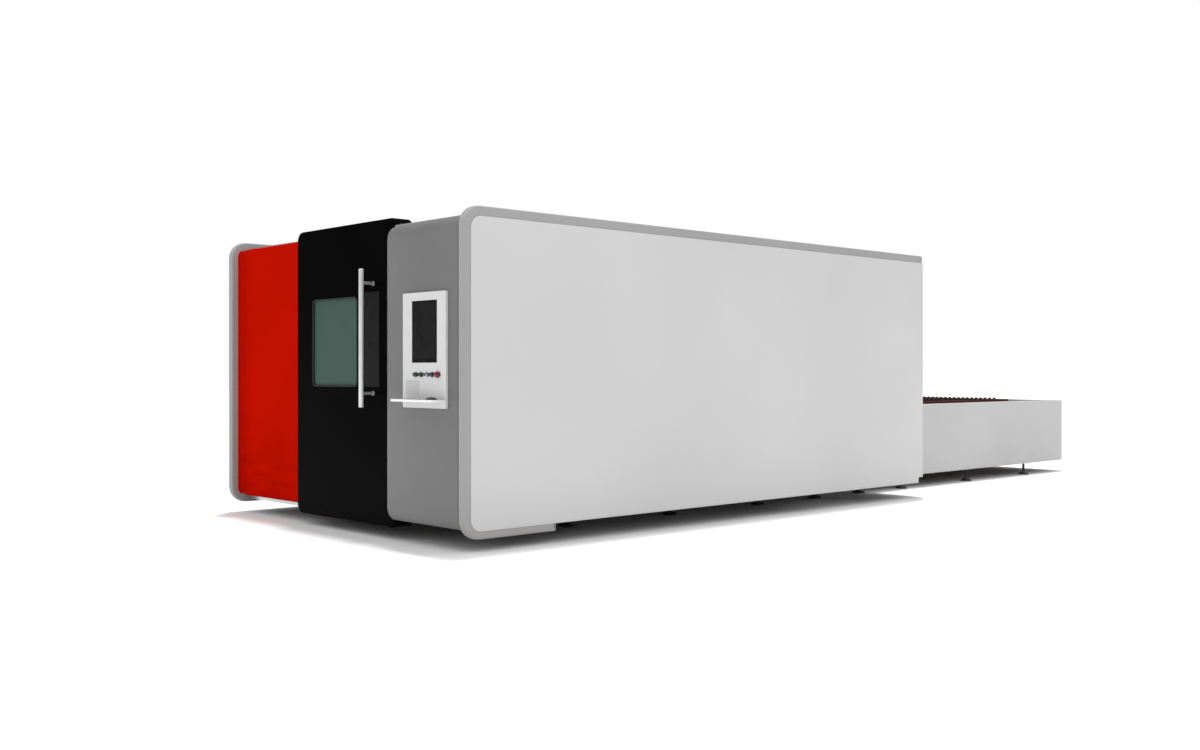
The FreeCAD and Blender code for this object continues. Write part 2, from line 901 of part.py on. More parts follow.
def cutting_head():
    """Cutting head: turned body with a clamp pad, collimator neck and fibre socket."""
    x_middle = station(head_station())
    low = nozzle_tip_height + nozzle_length
    high = low + head_body_length
    body = rod(head_body_radius, (x_middle, 0, low), (x_middle, 0, high))
    body = body.makeChamfer(8, edges_on_plane(body, "z", low) + edges_on_plane(body, "z", high))
    neck = rod(head_body_radius * 0.6, (x_middle, 0, high - 1), (x_middle, 0, high + 90))
    socket = rod(head_body_radius * 0.36, (x_middle, 0, high + 89), (x_middle, 0, high + 130))
    slide_face = station(carriage_front() - slide_clearance - slide_thickness)
    pad = block(x_middle, slide_face, -40, 40, slide_bottom() + 30, high - 30)
    return join([body, neck, socket, pad])


def nozzle():
    """Copper nozzle with its ceramic holder's cone."""
    x_middle = station(head_station())
    shoulder = nozzle_tip_height + nozzle_length
    middle = nozzle_tip_height + nozzle_length * 0.55
    axis = FreeCAD.Vector(0, 0, 1)
    holder = rod(head_body_radius * 0.55, (x_middle, 0, middle), (x_middle, 0, shoulder))
    cone = Part.makeCone(3, head_body_radius * 0.4, middle - nozzle_tip_height,
                         FreeCAD.Vector(x_middle, 0, nozzle_tip_height), axis)
    orifice = rod(1, (x_middle, 0, nozzle_tip_height - 1), (x_middle, 0, shoulder + 1))
    return join([holder, cone]).cut(orifice)


# ---- pallets ----

def pallet_frame(front, frame_bottom):
    """Pallet frame: two side tubes, two end tubes and inner ledges for the slats."""
    top = frame_bottom + pallet_frame_height
    begin, end = station(front), station(front + pallet_length)
    axle_height = frame_bottom + wheel_axis - upper_frame_bottom
    inner = pallet_half_width - pallet_tube
    ledge_top = top + slat_above_frame - slat_height
    pieces = []
    for side in (-1, 1):
        y_low, y_high = sorted((side * inner, side * pallet_half_width))
        pieces.append(hollow_tube(begin, end, y_low, y_high, frame_bottom, top, "x", 5))
        y_low, y_high = sorted((side * (inner - ledge_width), side * inner))
        pieces.append(block(begin + pallet_tube, end - pallet_tube, y_low, y_high,
                            ledge_top - ledge_thickness, ledge_top))
        y_low, y_high = sorted((side * pallet_half_width,
                                side * (chain_lane - chain_width / 2 - 0.5)))
        pieces.append(block(begin + 60, begin + 60 + lug_length, y_low, y_high,
                            axle_height - lug_height / 2, axle_height + lug_height / 2))
    for x_low in (begin, end - pallet_tube):
        pieces.append(hollow_tube(x_low, x_low + pallet_tube, -inner, inner, frame_bottom, top,
                                  "y", 5))
    frame = join(pieces)
    for x_middle in (begin + wheel_end_inset, end - wheel_end_inset):
        frame = frame.cut(rod(axle_radius + axle_clearance,
                              (x_middle, -pallet_half_width - 1, axle_height),
                              (x_middle, pallet_half_width + 1, axle_height)))
    return frame


def slat_profile(x_low, bottom):
    """One toothed slat standing across the pallet."""
    half = pallet_half_width - pallet_tube - 2
    top = bottom + slat_height
    valley = top - slat_tooth_depth
    teeth = int(2 * half // slat_tooth_pitch)
    pitch = 2 * half / teeth
    points = [(-half, bottom), (half, bottom), (half, valley)]
    for index in range(teeth):
        right_end = half - index * pitch
        points.append((right_end - pitch / 2, top))
        points.append((right_end - pitch, valley))
    outline = [FreeCAD.Vector(x_low, y, z) for y, z in points]
    face = Part.Face(Part.makePolygon(outline + outline[:1]))
    return face.extrude(FreeCAD.Vector(slat_thickness, 0, 0))


def pallet_slats(front, frame_bottom):
    """Row of toothed slats standing on the frame's ledges."""
    clear = pallet_length - 2 * pallet_tube
    count = int(clear // slat_pitch)
    first = front + pallet_tube + (clear - (count - 1) * slat_pitch) / 2
    bottom = frame_bottom + pallet_frame_height + slat_above_frame - slat_height
    return [slat_profile(station(first + index * slat_pitch), bottom)
            for index in range(count)]


def wheelset(front, frame_bottom, end):
    """Through axle with a flanged wheel pressed on each end."""
    axle_height = frame_bottom + wheel_axis - upper_frame_bottom
    offset = wheel_end_inset if end == "front" else pallet_length - wheel_end_inset
    x_middle = station(front + offset)
    outer = wheel_lane + wheel_width / 2
    pieces = [rod(axle_radius, (x_middle, -outer, axle_height), (x_middle, outer, axle_height))]
    for side in (-1, 1):
        pieces.append(rod(wheel_radius,
                          (x_middle, side * (wheel_lane - wheel_width / 2), axle_height),
                          (x_middle, side * outer, axle_height)))
        hub_inner = pallet_half_width + 0.5
        pieces.append(rod(axle_radius * 1.7, (x_middle, side * hub_inner, axle_height),
                          (x_middle, side * wheel_lane, axle_height)))
    return join(pieces)


def pallet_rails():
    """Angle rails for both levels: a length on the bed and one on the table, each side."""
    seam = enclosure_length
    lengths = ((rail_front, seam - rail_joint_gap), (seam + rail_joint_gap, rail_rear))
    leg_inner = beam_inner - rail_flange
    rails = []
    for top in (rail_top, rail_top - pallet_level_drop):
        for begin, end in lengths:
            flange = block(station(begin), station(end), rail_inner, beam_inner,
                           top - rail_flange, top)
            leg = block(station(begin), station(end), leg_inner, beam_inner,
                        top - rail_leg_height, top)
            rails += both_sides(join([flange, leg]))
    return rails


# ---- chain drive ----

def pallet_chain():
    """Closed chain round the idler and drive sprockets, one on each side."""
    def band(radius):
        begin, end = station(idler_station), station(drive_station)
        points = [(begin, chain_lane - chain_width / 2, chain_axis - radius),
                  (end, chain_lane - chain_width / 2, chain_axis - radius),
                  (end + radius, chain_lane - chain_width / 2, chain_axis),
                  (end, chain_lane - chain_width / 2, chain_axis + radius),
                  (begin, chain_lane - chain_width / 2, chain_axis + radius),
                  (begin - radius, chain_lane - chain_width / 2, chain_axis)]
        vectors = [FreeCAD.Vector(*point) for point in points]
        edges = [Part.LineSegment(vectors[0], vectors[1]).toShape(),
                 Part.Arc(vectors[1], vectors[2], vectors[3]).toShape(),
                 Part.LineSegment(vectors[3], vectors[4]).toShape(),
                 Part.Arc(vectors[4], vectors[5], vectors[0]).toShape()]
        return Part.Face(Part.Wire(edges)).extrude(FreeCAD.Vector(0, chain_width, 0))
    loop = band(chain_radius + chain_height / 2).cut(band(chain_radius - chain_height / 2))
    return both_sides(loop)


def sprocket_shaft(back):
    """Cross shaft with a sprocket inside each chain loop."""
    x_middle = station(back)
    reach = beam_inner + shaft_seat_depth - 1
    pieces = [rod(shaft_radius, (x_middle, -reach, chain_axis), (x_middle, reach, chain_axis))]
    rim = chain_radius - chain_height / 2 - chain_clearance
    for side in (-1, 1):
        disc = rod(rim, (x_middle, side * (chain_lane - 7), chain_axis),
                   (x_middle, side * (chain_lane + 7), chain_axis))
        for index in range(6):
            angle = math.radians(60 * index)
            hole_x = x_middle + 0.62 * rim * math.cos(angle)
            hole_z = chain_axis + 0.62 * rim * math.sin(angle)
            disc = disc.cut(rod(15, (hole_x, side * (chain_lane - 8), hole_z),
                                (hole_x, side * (chain_lane + 8), hole_z)))
        hub = rod(shaft_radius * 1.8, (x_middle, side * (chain_lane - 22), chain_axis),
                  (x_middle, side * (chain_lane + 7), chain_axis))
        pieces += [disc, hub]
    return join(pieces)


def drive_gearmotor():
    """Hollow-shaft gearmotor round the drive shaft, footed on the table's end tube."""
    x_middle = station(drive_station)
    half = gearbox_size / 2
    low = table_low_tube_bottom + tube
    housing = block(x_middle - half, x_middle + half, gearbox_lane - half,
                    gearbox_lane + half, chain_axis - half, chain_axis + half)
    housing = housing.makeChamfer(10, housing.Edges)
    pedestal = block(x_middle - tube / 2, x_middle + tube / 2, gearbox_lane - half + 20,
                     gearbox_lane + half - 20, low, chain_axis - half + 1)
    motor = rod(half * 0.85, (x_middle - half - 260, gearbox_lane, chain_axis),
                (x_middle - half + 1, gearbox_lane, chain_axis))
    body = join([housing, pedestal, motor])
    return body.cut(rod(shaft_radius + shaft_clearance, (x_middle, gearbox_lane - gearbox_size,
                                                         chain_axis),
                        (x_middle, gearbox_lane + gearbox_size, chain_axis)))


# ---- exchange table ----

def table_frame():
    """Welded table frame: long tubes, posts that hold the rails, and cross tubes."""
    outer = table_half_width - table_sheet
    end = enclosure_length + table_length - table_sheet
    low = table_low_tube_bottom
    high = table_panel_top - table_sheet
    pieces = []
    for side in (-1, 1):
        y_low, y_high = sorted((side * (outer - tube), side * outer))
        for z_low in (low, high - tube):
            pieces.append(block(station(enclosure_length), station(end), y_low, y_high, z_low,
                                z_low + tube))
        y_low, y_high = sorted((side * beam_inner, side * outer))
        for back in table_post_stations:
            pieces.append(block(station(back - table_post_depth / 2),
                                station(back + table_post_depth / 2), y_low, y_high, low, high))
    for back in table_post_stations:
        pieces.append(block(station(back - tube / 2), station(back + tube / 2), -beam_inner,
                            beam_inner, low, low + tube))
    frame = join(pieces)
    bearing = rod(shaft_radius + shaft_clearance,
                  (station(drive_station), -beam_inner - shaft_seat_depth, chain_axis),
                  (station(drive_station), beam_inner + shaft_seat_depth, chain_axis))
    return frame.cut(bearing)


def table_side_panels():
    """Folded side covers with a top return over the posts and chains."""
    begin = station(enclosure_length + 1)
    end = station(enclosure_length + table_length - table_sheet)
    outer = table_half_width
    wall = block(begin, end, outer - table_sheet, outer, table_panel_bottom, table_panel_top)
    top = block(begin, end, beam_inner - 18, outer, table_panel_top - table_sheet,
                table_panel_top)
    cover = join([wall, top])
    ridge = [edge for edge in edges_on_plane(cover, "y", outer)
             if edge.BoundBox.ZMin > table_panel_top - 1]
    return both_sides(cover.makeFillet(3, ridge))


def table_end_panel():
    """Flat cover across the table's far end."""
    end = enclosure_length + table_length
    return block(station(end - table_sheet), station(end), -table_half_width, table_half_width,
                 table_panel_bottom, table_panel_top)


def table_feet():
    """Feet under the table's lower long tubes."""
    y_middle = table_half_width - table_sheet - tube / 2
    return [foot(back, side * y_middle, table_low_tube_bottom, table_foot_disc_radius)
            for back in table_foot_stations for side in (-1, 1)]


# ---- inside equipment ----

def scrap_trays():
    """Open scrap trays resting on the bed's base tubes under the pallets."""
    low = base_tube_bottom + base_tube
    half = scrap_tray_width / 2
    trays = []
    for begin in scrap_tray_stations:
        outer = block(station(begin), station(begin + scrap_tray_length), -half, half, low,
                      low + scrap_tray_height)
        inside = block(station(begin) + scrap_tray_wall,
                       station(begin + scrap_tray_length) - scrap_tray_wall,
                       -half + scrap_tray_wall, half - scrap_tray_wall, low + scrap_tray_wall,
                       low + scrap_tray_height + 1)
        trays.append(outer.cut(inside))
    return trays


def equipment_cabinet(length, height):
    """Closed cabinet standing on the bed's base tubes beside the right beam."""
    low = base_tube_bottom + base_tube
    begin = station(base_tube_stations[2] - base_tube / 2)
    y_low = -inner_face + equipment_gap
    body = block(begin, begin + length, y_low, y_low + equipment_depth, low, low + height)
    return body.makeFillet(8, [edge for edge in body.Edges
                               if edge.BoundBox.ZLength > height / 2])


os.makedirs("parts", exist_ok=True)

right_frame = side_frame()
right_panel = side_panel()
rest_front = enclosure_length + pallet_rest_gap
lower_frame_bottom = upper_frame_bottom - pallet_level_drop

export("side_frame_right", right_frame)
export("side_frame_left", mirror_sides(right_frame))
export("side_panel_right", right_panel)
export("side_panel_left", mirror_sides(right_panel))
export("front_frame", front_frame())
export("front_panel", front_panel())
export("roof_frame", roof_frame())
export("roof_panels", roof_panels())
export("rear_side_panels", rear_side_panels())
export("rear_top_panel", rear_top_panel())

export("console_cabinet", console_cabinet())
export("console_column", console_column())
export("console_bezel", console_bezel())
export("console_screen", console_screen())
export("keyboard_tray", keyboard_tray())
export("keyboard", keyboard())
export("mouse", mouse())
export("start_button", push_button(4, button_head_radius, button_head_height, button_travel))
export("pause_button", push_button(3, button_head_radius, button_head_height, button_travel))
export("key_switch", key_switch(2))
export("reset_button", push_button(1, button_head_radius, button_head_height, button_travel))
export("emergency_stop", push_button(0, estop_head_radius, 2 * button_head_height,
                                     estop_travel))

export("sliding_door", sliding_door())
export("door_window", door_window())
export("door_handle", door_handle())
export("handle_plate", handle_plate())
export("door_rail", door_rail())
export("door_blocks", door_blocks())
export("door_guide", door_guide())

export("machine_bed", machine_bed())
export("bed_feet", bed_feet())
export("gantry_rails", gantry_rails())
export("magnet_tracks", magnet_tracks())
export("gantry_beam", gantry_beam())
export("bearing_blocks", bearing_blocks())
export("cross_rails", cross_rails())
export("head_carriage", head_carriage())
export("z_slide", z_slide())
export("cutting_head", cutting_head())
export("nozzle", nozzle())

export("upper_pallet_frame", pallet_frame(rest_front, upper_frame_bottom))
export("upper_pallet_slats", pallet_slats(rest_front, upper_frame_bottom))
export("lower_pallet_frame", pallet_frame(pallet_inside, lower_frame_bottom))
export("lower_pallet_slats", pallet_slats(pallet_inside, lower_frame_bottom))
for end_name in ("front", "rear"):
    export("upper_wheelset_" + end_name, wheelset(rest_front, upper_frame_bottom, end_name))
    export("lower_wheelset_" + end_name, wheelset(pallet_inside, lower_frame_bottom, end_name))
export("pallet_rails", pallet_rails())
export("pallet_chains", pallet_chain())
export("drive_shaft", sprocket_shaft(drive_station))
export("idler_shaft", sprocket_shaft(idler_station))
export("drive_gearmotor", drive_gearmotor())

export("table_frame", table_frame())
export("table_side_panels", table_side_panels())
export("table_end_panel", table_end_panel())
export("table_feet", table_feet())
export("scrap_trays", scrap_trays())
export("laser_source", equipment_cabinet(laser_source_length, laser_source_height))
export("electrical_cabinet", mirror_sides(equipment_cabinet(electrical_cabinet_length,
                                                            electrical_cabinet_height)))
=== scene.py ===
import bpy
import numpy as np
from math import pi, radians
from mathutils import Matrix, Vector


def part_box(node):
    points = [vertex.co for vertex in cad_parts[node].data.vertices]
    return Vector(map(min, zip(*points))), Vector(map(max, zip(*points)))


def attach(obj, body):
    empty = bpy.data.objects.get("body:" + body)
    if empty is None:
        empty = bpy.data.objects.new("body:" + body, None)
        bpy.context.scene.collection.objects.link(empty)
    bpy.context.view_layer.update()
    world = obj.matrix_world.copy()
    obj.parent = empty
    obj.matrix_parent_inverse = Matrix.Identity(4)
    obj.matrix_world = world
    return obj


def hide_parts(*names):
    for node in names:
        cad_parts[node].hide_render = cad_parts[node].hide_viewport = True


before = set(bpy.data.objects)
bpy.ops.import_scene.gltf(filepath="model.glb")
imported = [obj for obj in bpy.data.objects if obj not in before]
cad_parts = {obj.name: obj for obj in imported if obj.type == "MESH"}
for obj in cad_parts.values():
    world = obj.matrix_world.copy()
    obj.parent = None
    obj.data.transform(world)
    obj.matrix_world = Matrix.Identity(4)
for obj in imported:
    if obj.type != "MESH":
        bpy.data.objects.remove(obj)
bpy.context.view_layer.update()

scene = bpy.context.scene
scene.view_settings.view_transform = "Standard"

# ---- camera ----
# Stands in front of the right-hand corner at chest height and looks level along the machine,
# so that uprights stay upright.
camera_place = Vector((-9.078, -7.823, 1.15))
camera_heading = Vector((0.682, 0.7314, 0.0))
camera_data = bpy.data.cameras.new("camera")
camera_data.lens = 36.96
camera_data.sensor_width = 36
camera_data.shift_y = -0.0033
camera = bpy.data.objects.new("camera", camera_data)
camera.location = camera_place
camera.rotation_euler = camera_heading.to_track_quat("-Z", "Y").to_euler()
scene.collection.objects.link(camera)
scene.camera = camera

# ---- floor and light ----
# A pale matt studio floor, an even white sky round it, and one broad lamp that is high behind
# the machine, so that a short soft shadow falls in front of it.
floor_reach = 60.0
sky_strength = 1.0
gloss_sky_strength = 0.32
lamp_strength = 2.4
lamp_softness = radians(7)
lamp_aim = Vector((-0.13, -0.10, -1.0))


def plain_material(name):
    """A material with its node tree and Principled shader; returns all three."""
    material = bpy.data.materials.new(name)
    material.use_nodes = True
    return material, material.node_tree, material.node_tree.nodes["Principled BSDF"]


floor_material, _, floor_shader = plain_material("studio_floor")
floor_shader.inputs["Base Color"].default_value = (0.86, 0.86, 0.86, 1)
floor_shader.inputs["Roughness"].default_value = 0.9
floor_shader.inputs["Specular IOR Level"].default_value = 0.0
floor_mesh = bpy.data.meshes.new("studio_floor")
floor_mesh.from_pydata([(across * floor_reach, along * floor_reach, 0)
                        for across, along in ((-1, -1), (1, -1), (1, 1), (-1, 1))],
                       [], [(0, 1, 2, 3)])
floor_mesh.materials.append(floor_material)
floor = bpy.data.objects.new("studio_floor", floor_mesh)
scene.collection.objects.link(floor)

lamp_data = bpy.data.lights.new("broad_lamp", "SUN")
lamp_data.energy = lamp_strength
lamp_data.angle = lamp_softness
lamp = bpy.data.objects.new("broad_lamp", lamp_data)
lamp.rotation_euler = lamp_aim.to_track_quat("-Z", "Y").to_euler()
scene.collection.objects.link(lamp)

sky = bpy.data.worlds.new("studio_sky")
sky.use_nodes = True
scene.world = sky
sky_tree = sky.node_tree
sky_light = sky_tree.nodes["Background"]
sky_light.inputs["Color"].default_value = (1, 1, 1, 1)
sky_light.inputs["Strength"].default_value = sky_strength
gloss_light = sky_tree.nodes.new("ShaderNodeBackground")
gloss_light.inputs["Color"].default_value = (1, 1, 1, 1)
gloss_light.inputs["Strength"].default_value = gloss_sky_strength
ray = sky_tree.nodes.new("ShaderNodeLightPath")
sky_mix = sky_tree.nodes.new("ShaderNodeMixShader")
sky_tree.links.new(ray.outputs["Is Glossy Ray"], sky_mix.inputs["Fac"])
sky_tree.links.new(sky_light.outputs[0], sky_mix.inputs[1])
sky_tree.links.new(gloss_light.outputs[0], sky_mix.inputs[2])
sky_tree.links.new(sky_mix.outputs[0], sky_tree.nodes["World Output"].inputs["Surface"])

# ---- side frames ----
# Each long side is carried by a flat ring of welded box section with three posts between, powder
# coated mid grey. Its outer rim is rolled round and the front corners are broad arcs.
frame_low, frame_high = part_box("side_frame_right")
ring_member = 0.12
ring_rim_radius = 0.012
front_arc = 0.13
small_arc = 0.013
tail_corner_radius = 0.02
bay_corner_radius = 0.03
roof_member = 0.185
toe_length = 0.77
toe_drop = 0.053
tail_length = 0.07
tail_height = 0.05
bend = 0.004
post_count = 3
post_width = 0.06
post_lap = 0.02
post_sink = 0.002
post_rim_radius = 0.004


def sheet_of_cells(points, close_rows=False, cap=False):
    """Surface over rows x columns of points, one quad a cell, the last column joined to the first.
    Closing the rows makes a torus; a cap fans the first and last rows to their middle points."""
    rows, columns = points.shape[:2]
    index = np.arange(rows * columns).reshape(rows, columns)
    index = np.hstack([index, index[:, :1]])
    if close_rows:
        index = np.vstack([index, index[:1]])
    quads = np.stack([index[:-1, :-1], index[:-1, 1:], index[1:, 1:], index[1:, :-1]], -1)
    quads = quads.reshape(-1, 4)
    spots = points.reshape(-1, 3)
    fans = np.empty((0, 3), int)
    if cap:
        middles = np.stack([(points[row].min(0) + points[row].max(0)) / 2 for row in (0, -1)])
        first, last = index[0], index[-1]
        hub = np.full(columns, len(spots))
        fans = np.vstack([np.stack([first[1:], first[:-1], hub], -1),
                          np.stack([last[:-1], last[1:], hub + 1], -1)])
        spots = np.vstack([spots, middles])
    halves = np.vstack([quads[:, [0, 1, 2]], quads[:, [0, 2, 3]], fans])
    corner = spots[halves]
    volume = np.einsum("ij,ij->i", corner[:, 0], np.cross(corner[:, 1], corner[:, 2])).sum()
    if volume < 0:
        quads, fans = quads[:, ::-1], fans[:, ::-1]
    return spots, quads, fans


def assembled(shapes):
    """Several shapes as one, each one's face numbers moved past the points before it."""
    starts = np.cumsum([0] + [len(shape[0]) for shape in shapes[:-1]])
    return (np.vstack([shape[0] for shape in shapes]),
            np.vstack([shape[1] + start for shape, start in zip(shapes, starts)]),
            np.vstack([shape[2] + start for shape, start in zip(shapes, starts)]))


def copied(placed, shape):
    """Many placed copies of a shape's points as one, its faces counted on from copy to copy."""
    step = placed.shape[1] * np.arange(len(placed))[:, None, None]
    return (placed.reshape(-1, 3), (shape[1][None] + step).reshape(-1, 4),
            (shape[2][None] + step).reshape(-1, 3))


def repeated(shape, offsets):
    """The same shape at each offset, as one."""
    return copied(shape[0][None] + np.array(offsets, float)[:, None], shape)


def rounded_outline(corners, radii, steps=8):
    """Closed outline: each corner is an arc tangent to its two edges, its centre on the bisector."""
    corners, radii = np.array(corners, float), np.array(radii, float)[:, None]
    before, after = np.roll(corners, 1, 0) - corners, np.roll(corners, -1, 0) - corners
    before /= np.linalg.norm(before, axis=1)[:, None]
    after /= np.linalg.norm(after, axis=1)[:, None]
    half = np.arccos(np.clip((before * after).sum(1), -1, 1))[:, None] / 2
    bisector = before + after
    bisector /= np.linalg.norm(bisector, axis=1)[:, None]
    centre = corners + bisector * radii / np.sin(half)
    start = corners + before * radii / np.tan(half) - centre
    end = corners + after * radii / np.tan(half) - centre
    turn = pi - 2 * half
    share = np.linspace(0, 1, steps)[None]
    ahead, behind = np.sin((1 - share) * turn), np.sin(share * turn)
    arcs = (ahead[..., None] * start[:, None] + behind[..., None] * end[:, None])
    return (centre[:, None] + arcs / np.sin(turn)[..., None]).reshape(-1, 2)


def drawn_in(outline, insets):
    """The outline moved inwards by each inset along its own normals, one ring an inset."""
    along = np.roll(outline, -1, 0) - np.roll(outline, 1, 0)
    normal = np.stack([along[:, 1], -along[:, 0]], -1)
    normal /= np.linalg.norm(normal, axis=1)[:, None]
    following = np.roll(outline, -1, 0)
    area = (outline[:, 0] * following[:, 1] - outline[:, 1] * following[:, 0]).sum()
    return outline[None] - np.sign(area) * np.array(insets)[:, None, None] * normal[None]


def stood_up(rings, levels, axis):
    """Flat rings put at their levels along one axis."""
    points = np.empty(rings.shape[:2] + (3,))
    others = [side for side in range(3) if side != axis]
    points[..., others] = rings
    points[..., axis] = np.array(levels)[:, None]
    return points


def pressed(outline, profile, axis, base, hoop=False):
    """Plate of rings: each (inset, level) pair is the outline drawn in, at base + level on the axis.
    The ends are closed over, or for a hoop the last ring joins the first."""
    profile = np.array(profile, float)
    points = stood_up(drawn_in(outline, profile[:, 0]), base + profile[:, 1], axis)
    return sheet_of_cells(points, close_rows=hoop, cap=not hoop)


def soft_edge(thickness, radius, steps=4):
    """Profile of a plate with rounded rims: a flat border, a quarter turn, a straight wall, a
    quarter turn and a flat border again."""
    turn = np.linspace(0, pi / 2, steps)
    quarter = np.stack([radius * (1 - np.sin(turn)), radius * (1 - np.cos(turn))], -1)
    quarter = np.vstack([[1.5 * radius, 0], quarter])
    return np.vstack([quarter, quarter[::-1] * [1, -1] + [0, thickness]])


def soft_block(low, high, radius, axis=2):
    """Block between two corners with all its edges rounded."""
    low, high = np.array(low, float), np.array(high, float)
    side, up = [number for number in range(3) if number != axis]
    corners = [(low[side], low[up]), (high[side], low[up]), (high[side], high[up]),
               (low[side], high[up])]
    outline = rounded_outline(corners, [radius * 1.6] * 4, 4)
    return pressed(outline, soft_edge(high[axis] - low[axis], radius), axis, low[axis])


def mirrored(shape):
    """The twin shape on the other long side, its faces turned back outwards."""
    spots, quads, fans = shape
    return spots * [1, -1, 1], quads[:, ::-1], fans[:, ::-1]


def group_with(name, entries, exits):
    """An empty node group with its named sockets; entries give a type and a first value. Returns
    the group, what comes in, and the Object coordinates in it."""
    group = bpy.data.node_groups.new(name, "ShaderNodeTree")
    for label, kind, value in entries:
        socket = group.interface.new_socket(label, in_out="INPUT", socket_type=kind)
        socket.default_value = value
    for label, kind in exits:
        group.interface.new_socket(label, in_out="OUTPUT", socket_type=kind)
    group.nodes.new("NodeGroupOutput")
    return (group, group.nodes.new("NodeGroupInput").outputs,
            group.nodes.new("ShaderNodeTexCoord").outputs["Object"])


def put_out(group, **results):
    """Joins each result to the group's way out of the same name."""
    for label, result in results.items():
        group.links.new(result, group.nodes["Group Output"].inputs[label])


def level_in(group, place):
    """How high a point lies, from its coordinates."""
    split = group.nodes.new("ShaderNodeSeparateXYZ")
    group.links.new(place, split.inputs[0])
    return split.outputs["Z"]


def blended(group, share, first, second):
    """One colour carried by a share towards a second, plain one."""
    mix = group.nodes.new("ShaderNodeMix")
    mix.data_type = "RGBA"
    group.links.new(share, mix.inputs[0])
    group.links.new(first, mix.inputs[6])
    mix.inputs[7].default_value = second
    return mix.outputs[2]


def noise_in(group, source, scale, detail=2.0):
    """A noise pattern on the given coordinates; scale is a number or a socket."""
    noise = group.nodes.new("ShaderNodeTexNoise")
    noise.inputs["Detail"].default_value = detail
    group.links.new(source, noise.inputs["Vector"])
    if isinstance(scale, (int, float)):
        noise.inputs["Scale"].default_value = scale
    else:
        group.links.new(scale, noise.inputs["Scale"])
    return noise.outputs["Fac"]


def ranged(group, value, low, high, start=0.0, stop=1.0):
    """A value carried from start..stop to low..high, each end a number or a socket."""
    node = group.nodes.new("ShaderNodeMapRange")
    group.links.new(value, node.inputs["Value"])
    for label, end in (("From Min", start), ("From Max", stop), ("To Min", low),
                       ("To Max", high)):
        if isinstance(end, (int, float)):
            node.inputs[label].default_value = end
        else:
            group.links.new(end, node.inputs[label])
    return node.outputs["Result"]


def times(group, first, second, operation="MULTIPLY"):
    """Two values put through one arithmetic step."""
    node = group.nodes.new("ShaderNodeMath")
    node.operation = operation
    for number, end in enumerate((first, second)):
        if isinstance(end, (int, float)):
            node.inputs[number].default_value = end
        else:
            group.links.new(end, node.inputs[number])
    return node.outputs[0]


def shaded(group, colour, amount):
    """A colour made lighter or darker by a factor."""
    node = group.nodes.new("ShaderNodeVectorMath")
    node.operation = "SCALE"
    group.links.new(colour, node.inputs[0])
    group.links.new(amount, node.inputs["Scale"])
    return node.outputs["Vector"]


# Powder coat: broad uneven tone, fine orange-peel grain, dust that gathers low down.
coat_group, coat_in, coat_place = group_with(
    "powder_coat",
    [("Colour", "NodeSocketColor", (0.5, 0.5, 0.5, 1)), ("Unevenness", "NodeSocketFloat", 0.05),
     ("Roughness", "NodeSocketFloat", 0.45), ("Grain Scale", "NodeSocketFloat", 700.0),
     ("Dust", "NodeSocketFloat", 0.15)],
    [("Colour", "NodeSocketColor"), ("Roughness", "NodeSocketFloat"),
     ("Height", "NodeSocketFloat")])
coat_fine = noise_in(coat_group, coat_place, coat_in["Grain Scale"], 1.0)
coat_speck = noise_in(coat_group, coat_place, 38.0, 6.0)
coat_tone = ranged(coat_group, noise_in(coat_group, coat_place, 0.55, 3.0),
                   times(coat_group, 1.0, coat_in["Unevenness"], "SUBTRACT"),
                   times(coat_group, 1.0, coat_in["Unevenness"], "ADD"), 0.3, 0.7)
coat_low = ranged(coat_group, level_in(coat_group, coat_place), 1.0, 0.0, 0.08, 0.6)
coat_dust = times(coat_group, times(coat_group, coat_low, coat_speck), coat_in["Dust"])
coat_rough = times(coat_group, ranged(coat_group, coat_speck, -0.05, 0.05),
                   times(coat_group, coat_dust, 0.6), "ADD")
put_out(coat_group, Height=coat_fine,
        Colour=blended(coat_group, coat_dust, shaded(coat_group, coat_in["Colour"], coat_tone),
                       (0.33, 0.31, 0.28, 1)),
        Roughness=times(coat_group, coat_in["Roughness"], coat_rough, "ADD"))


def finished(name, group, values, bump=0.0, **sockets):
    """A material that places a finish group with its own values; plain numbers go on the shader.
    Colour, Roughness and Metallic come from the group where it has them, Height through a bump."""
    material, tree, shader = plain_material(name)
    finish = tree.nodes.new("ShaderNodeGroup")
    finish.node_tree = group
    for label, value in values.items():
        finish.inputs[label].default_value = value
    for label, target in (("Colour", "Base Color"), ("Roughness", "Roughness"),
                          ("Metallic", "Metallic")):
        if label in finish.outputs:
            tree.links.new(finish.outputs[label], shader.inputs[target])
    if bump:
        relief = tree.nodes.new("ShaderNodeBump")
        relief.inputs["Strength"].default_value = bump
        relief.inputs["Distance"].default_value = 0.0006
        tree.links.new(finish.outputs["Height"], relief.inputs["Height"])
        tree.links.new(relief.outputs["Normal"], shader.inputs["Normal"])
    for label, value in sockets.items():
        shader.inputs[label.replace("_", " ")].default_value = value
    return material


def painted(name, colour, roughness=0.45, unevenness=0.05, dust=0.15, **sockets):
    """Powder-coated steel in one colour."""
    values = {"Colour": (*colour, 1), "Roughness": roughness, "Unevenness": unevenness,
              "Dust": dust}
    return finished(name, coat_group, values, 0.25, **{"Specular_IOR_Level": 0.2, **sockets})


def piece(name, shapes, material, body, hides=()):
    """Makes one piece's object from its shapes; it rides on a body and may hide CAD nodes."""
    spots, quads, fans = assembled(shapes)
    mesh = bpy.data.meshes.new(name)
    mesh.from_pydata(spots.tolist(), [], quads.tolist() + fans.tolist())
    mesh.shade_smooth()
    mesh.set_sharp_from_angle(angle=radians(32))
    mesh.materials.append(material)
    made = bpy.data.objects.new(name, mesh)
    scene.collection.objects.link(made)
    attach(made, body)
    if hides:
        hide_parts(*hides)
    return made


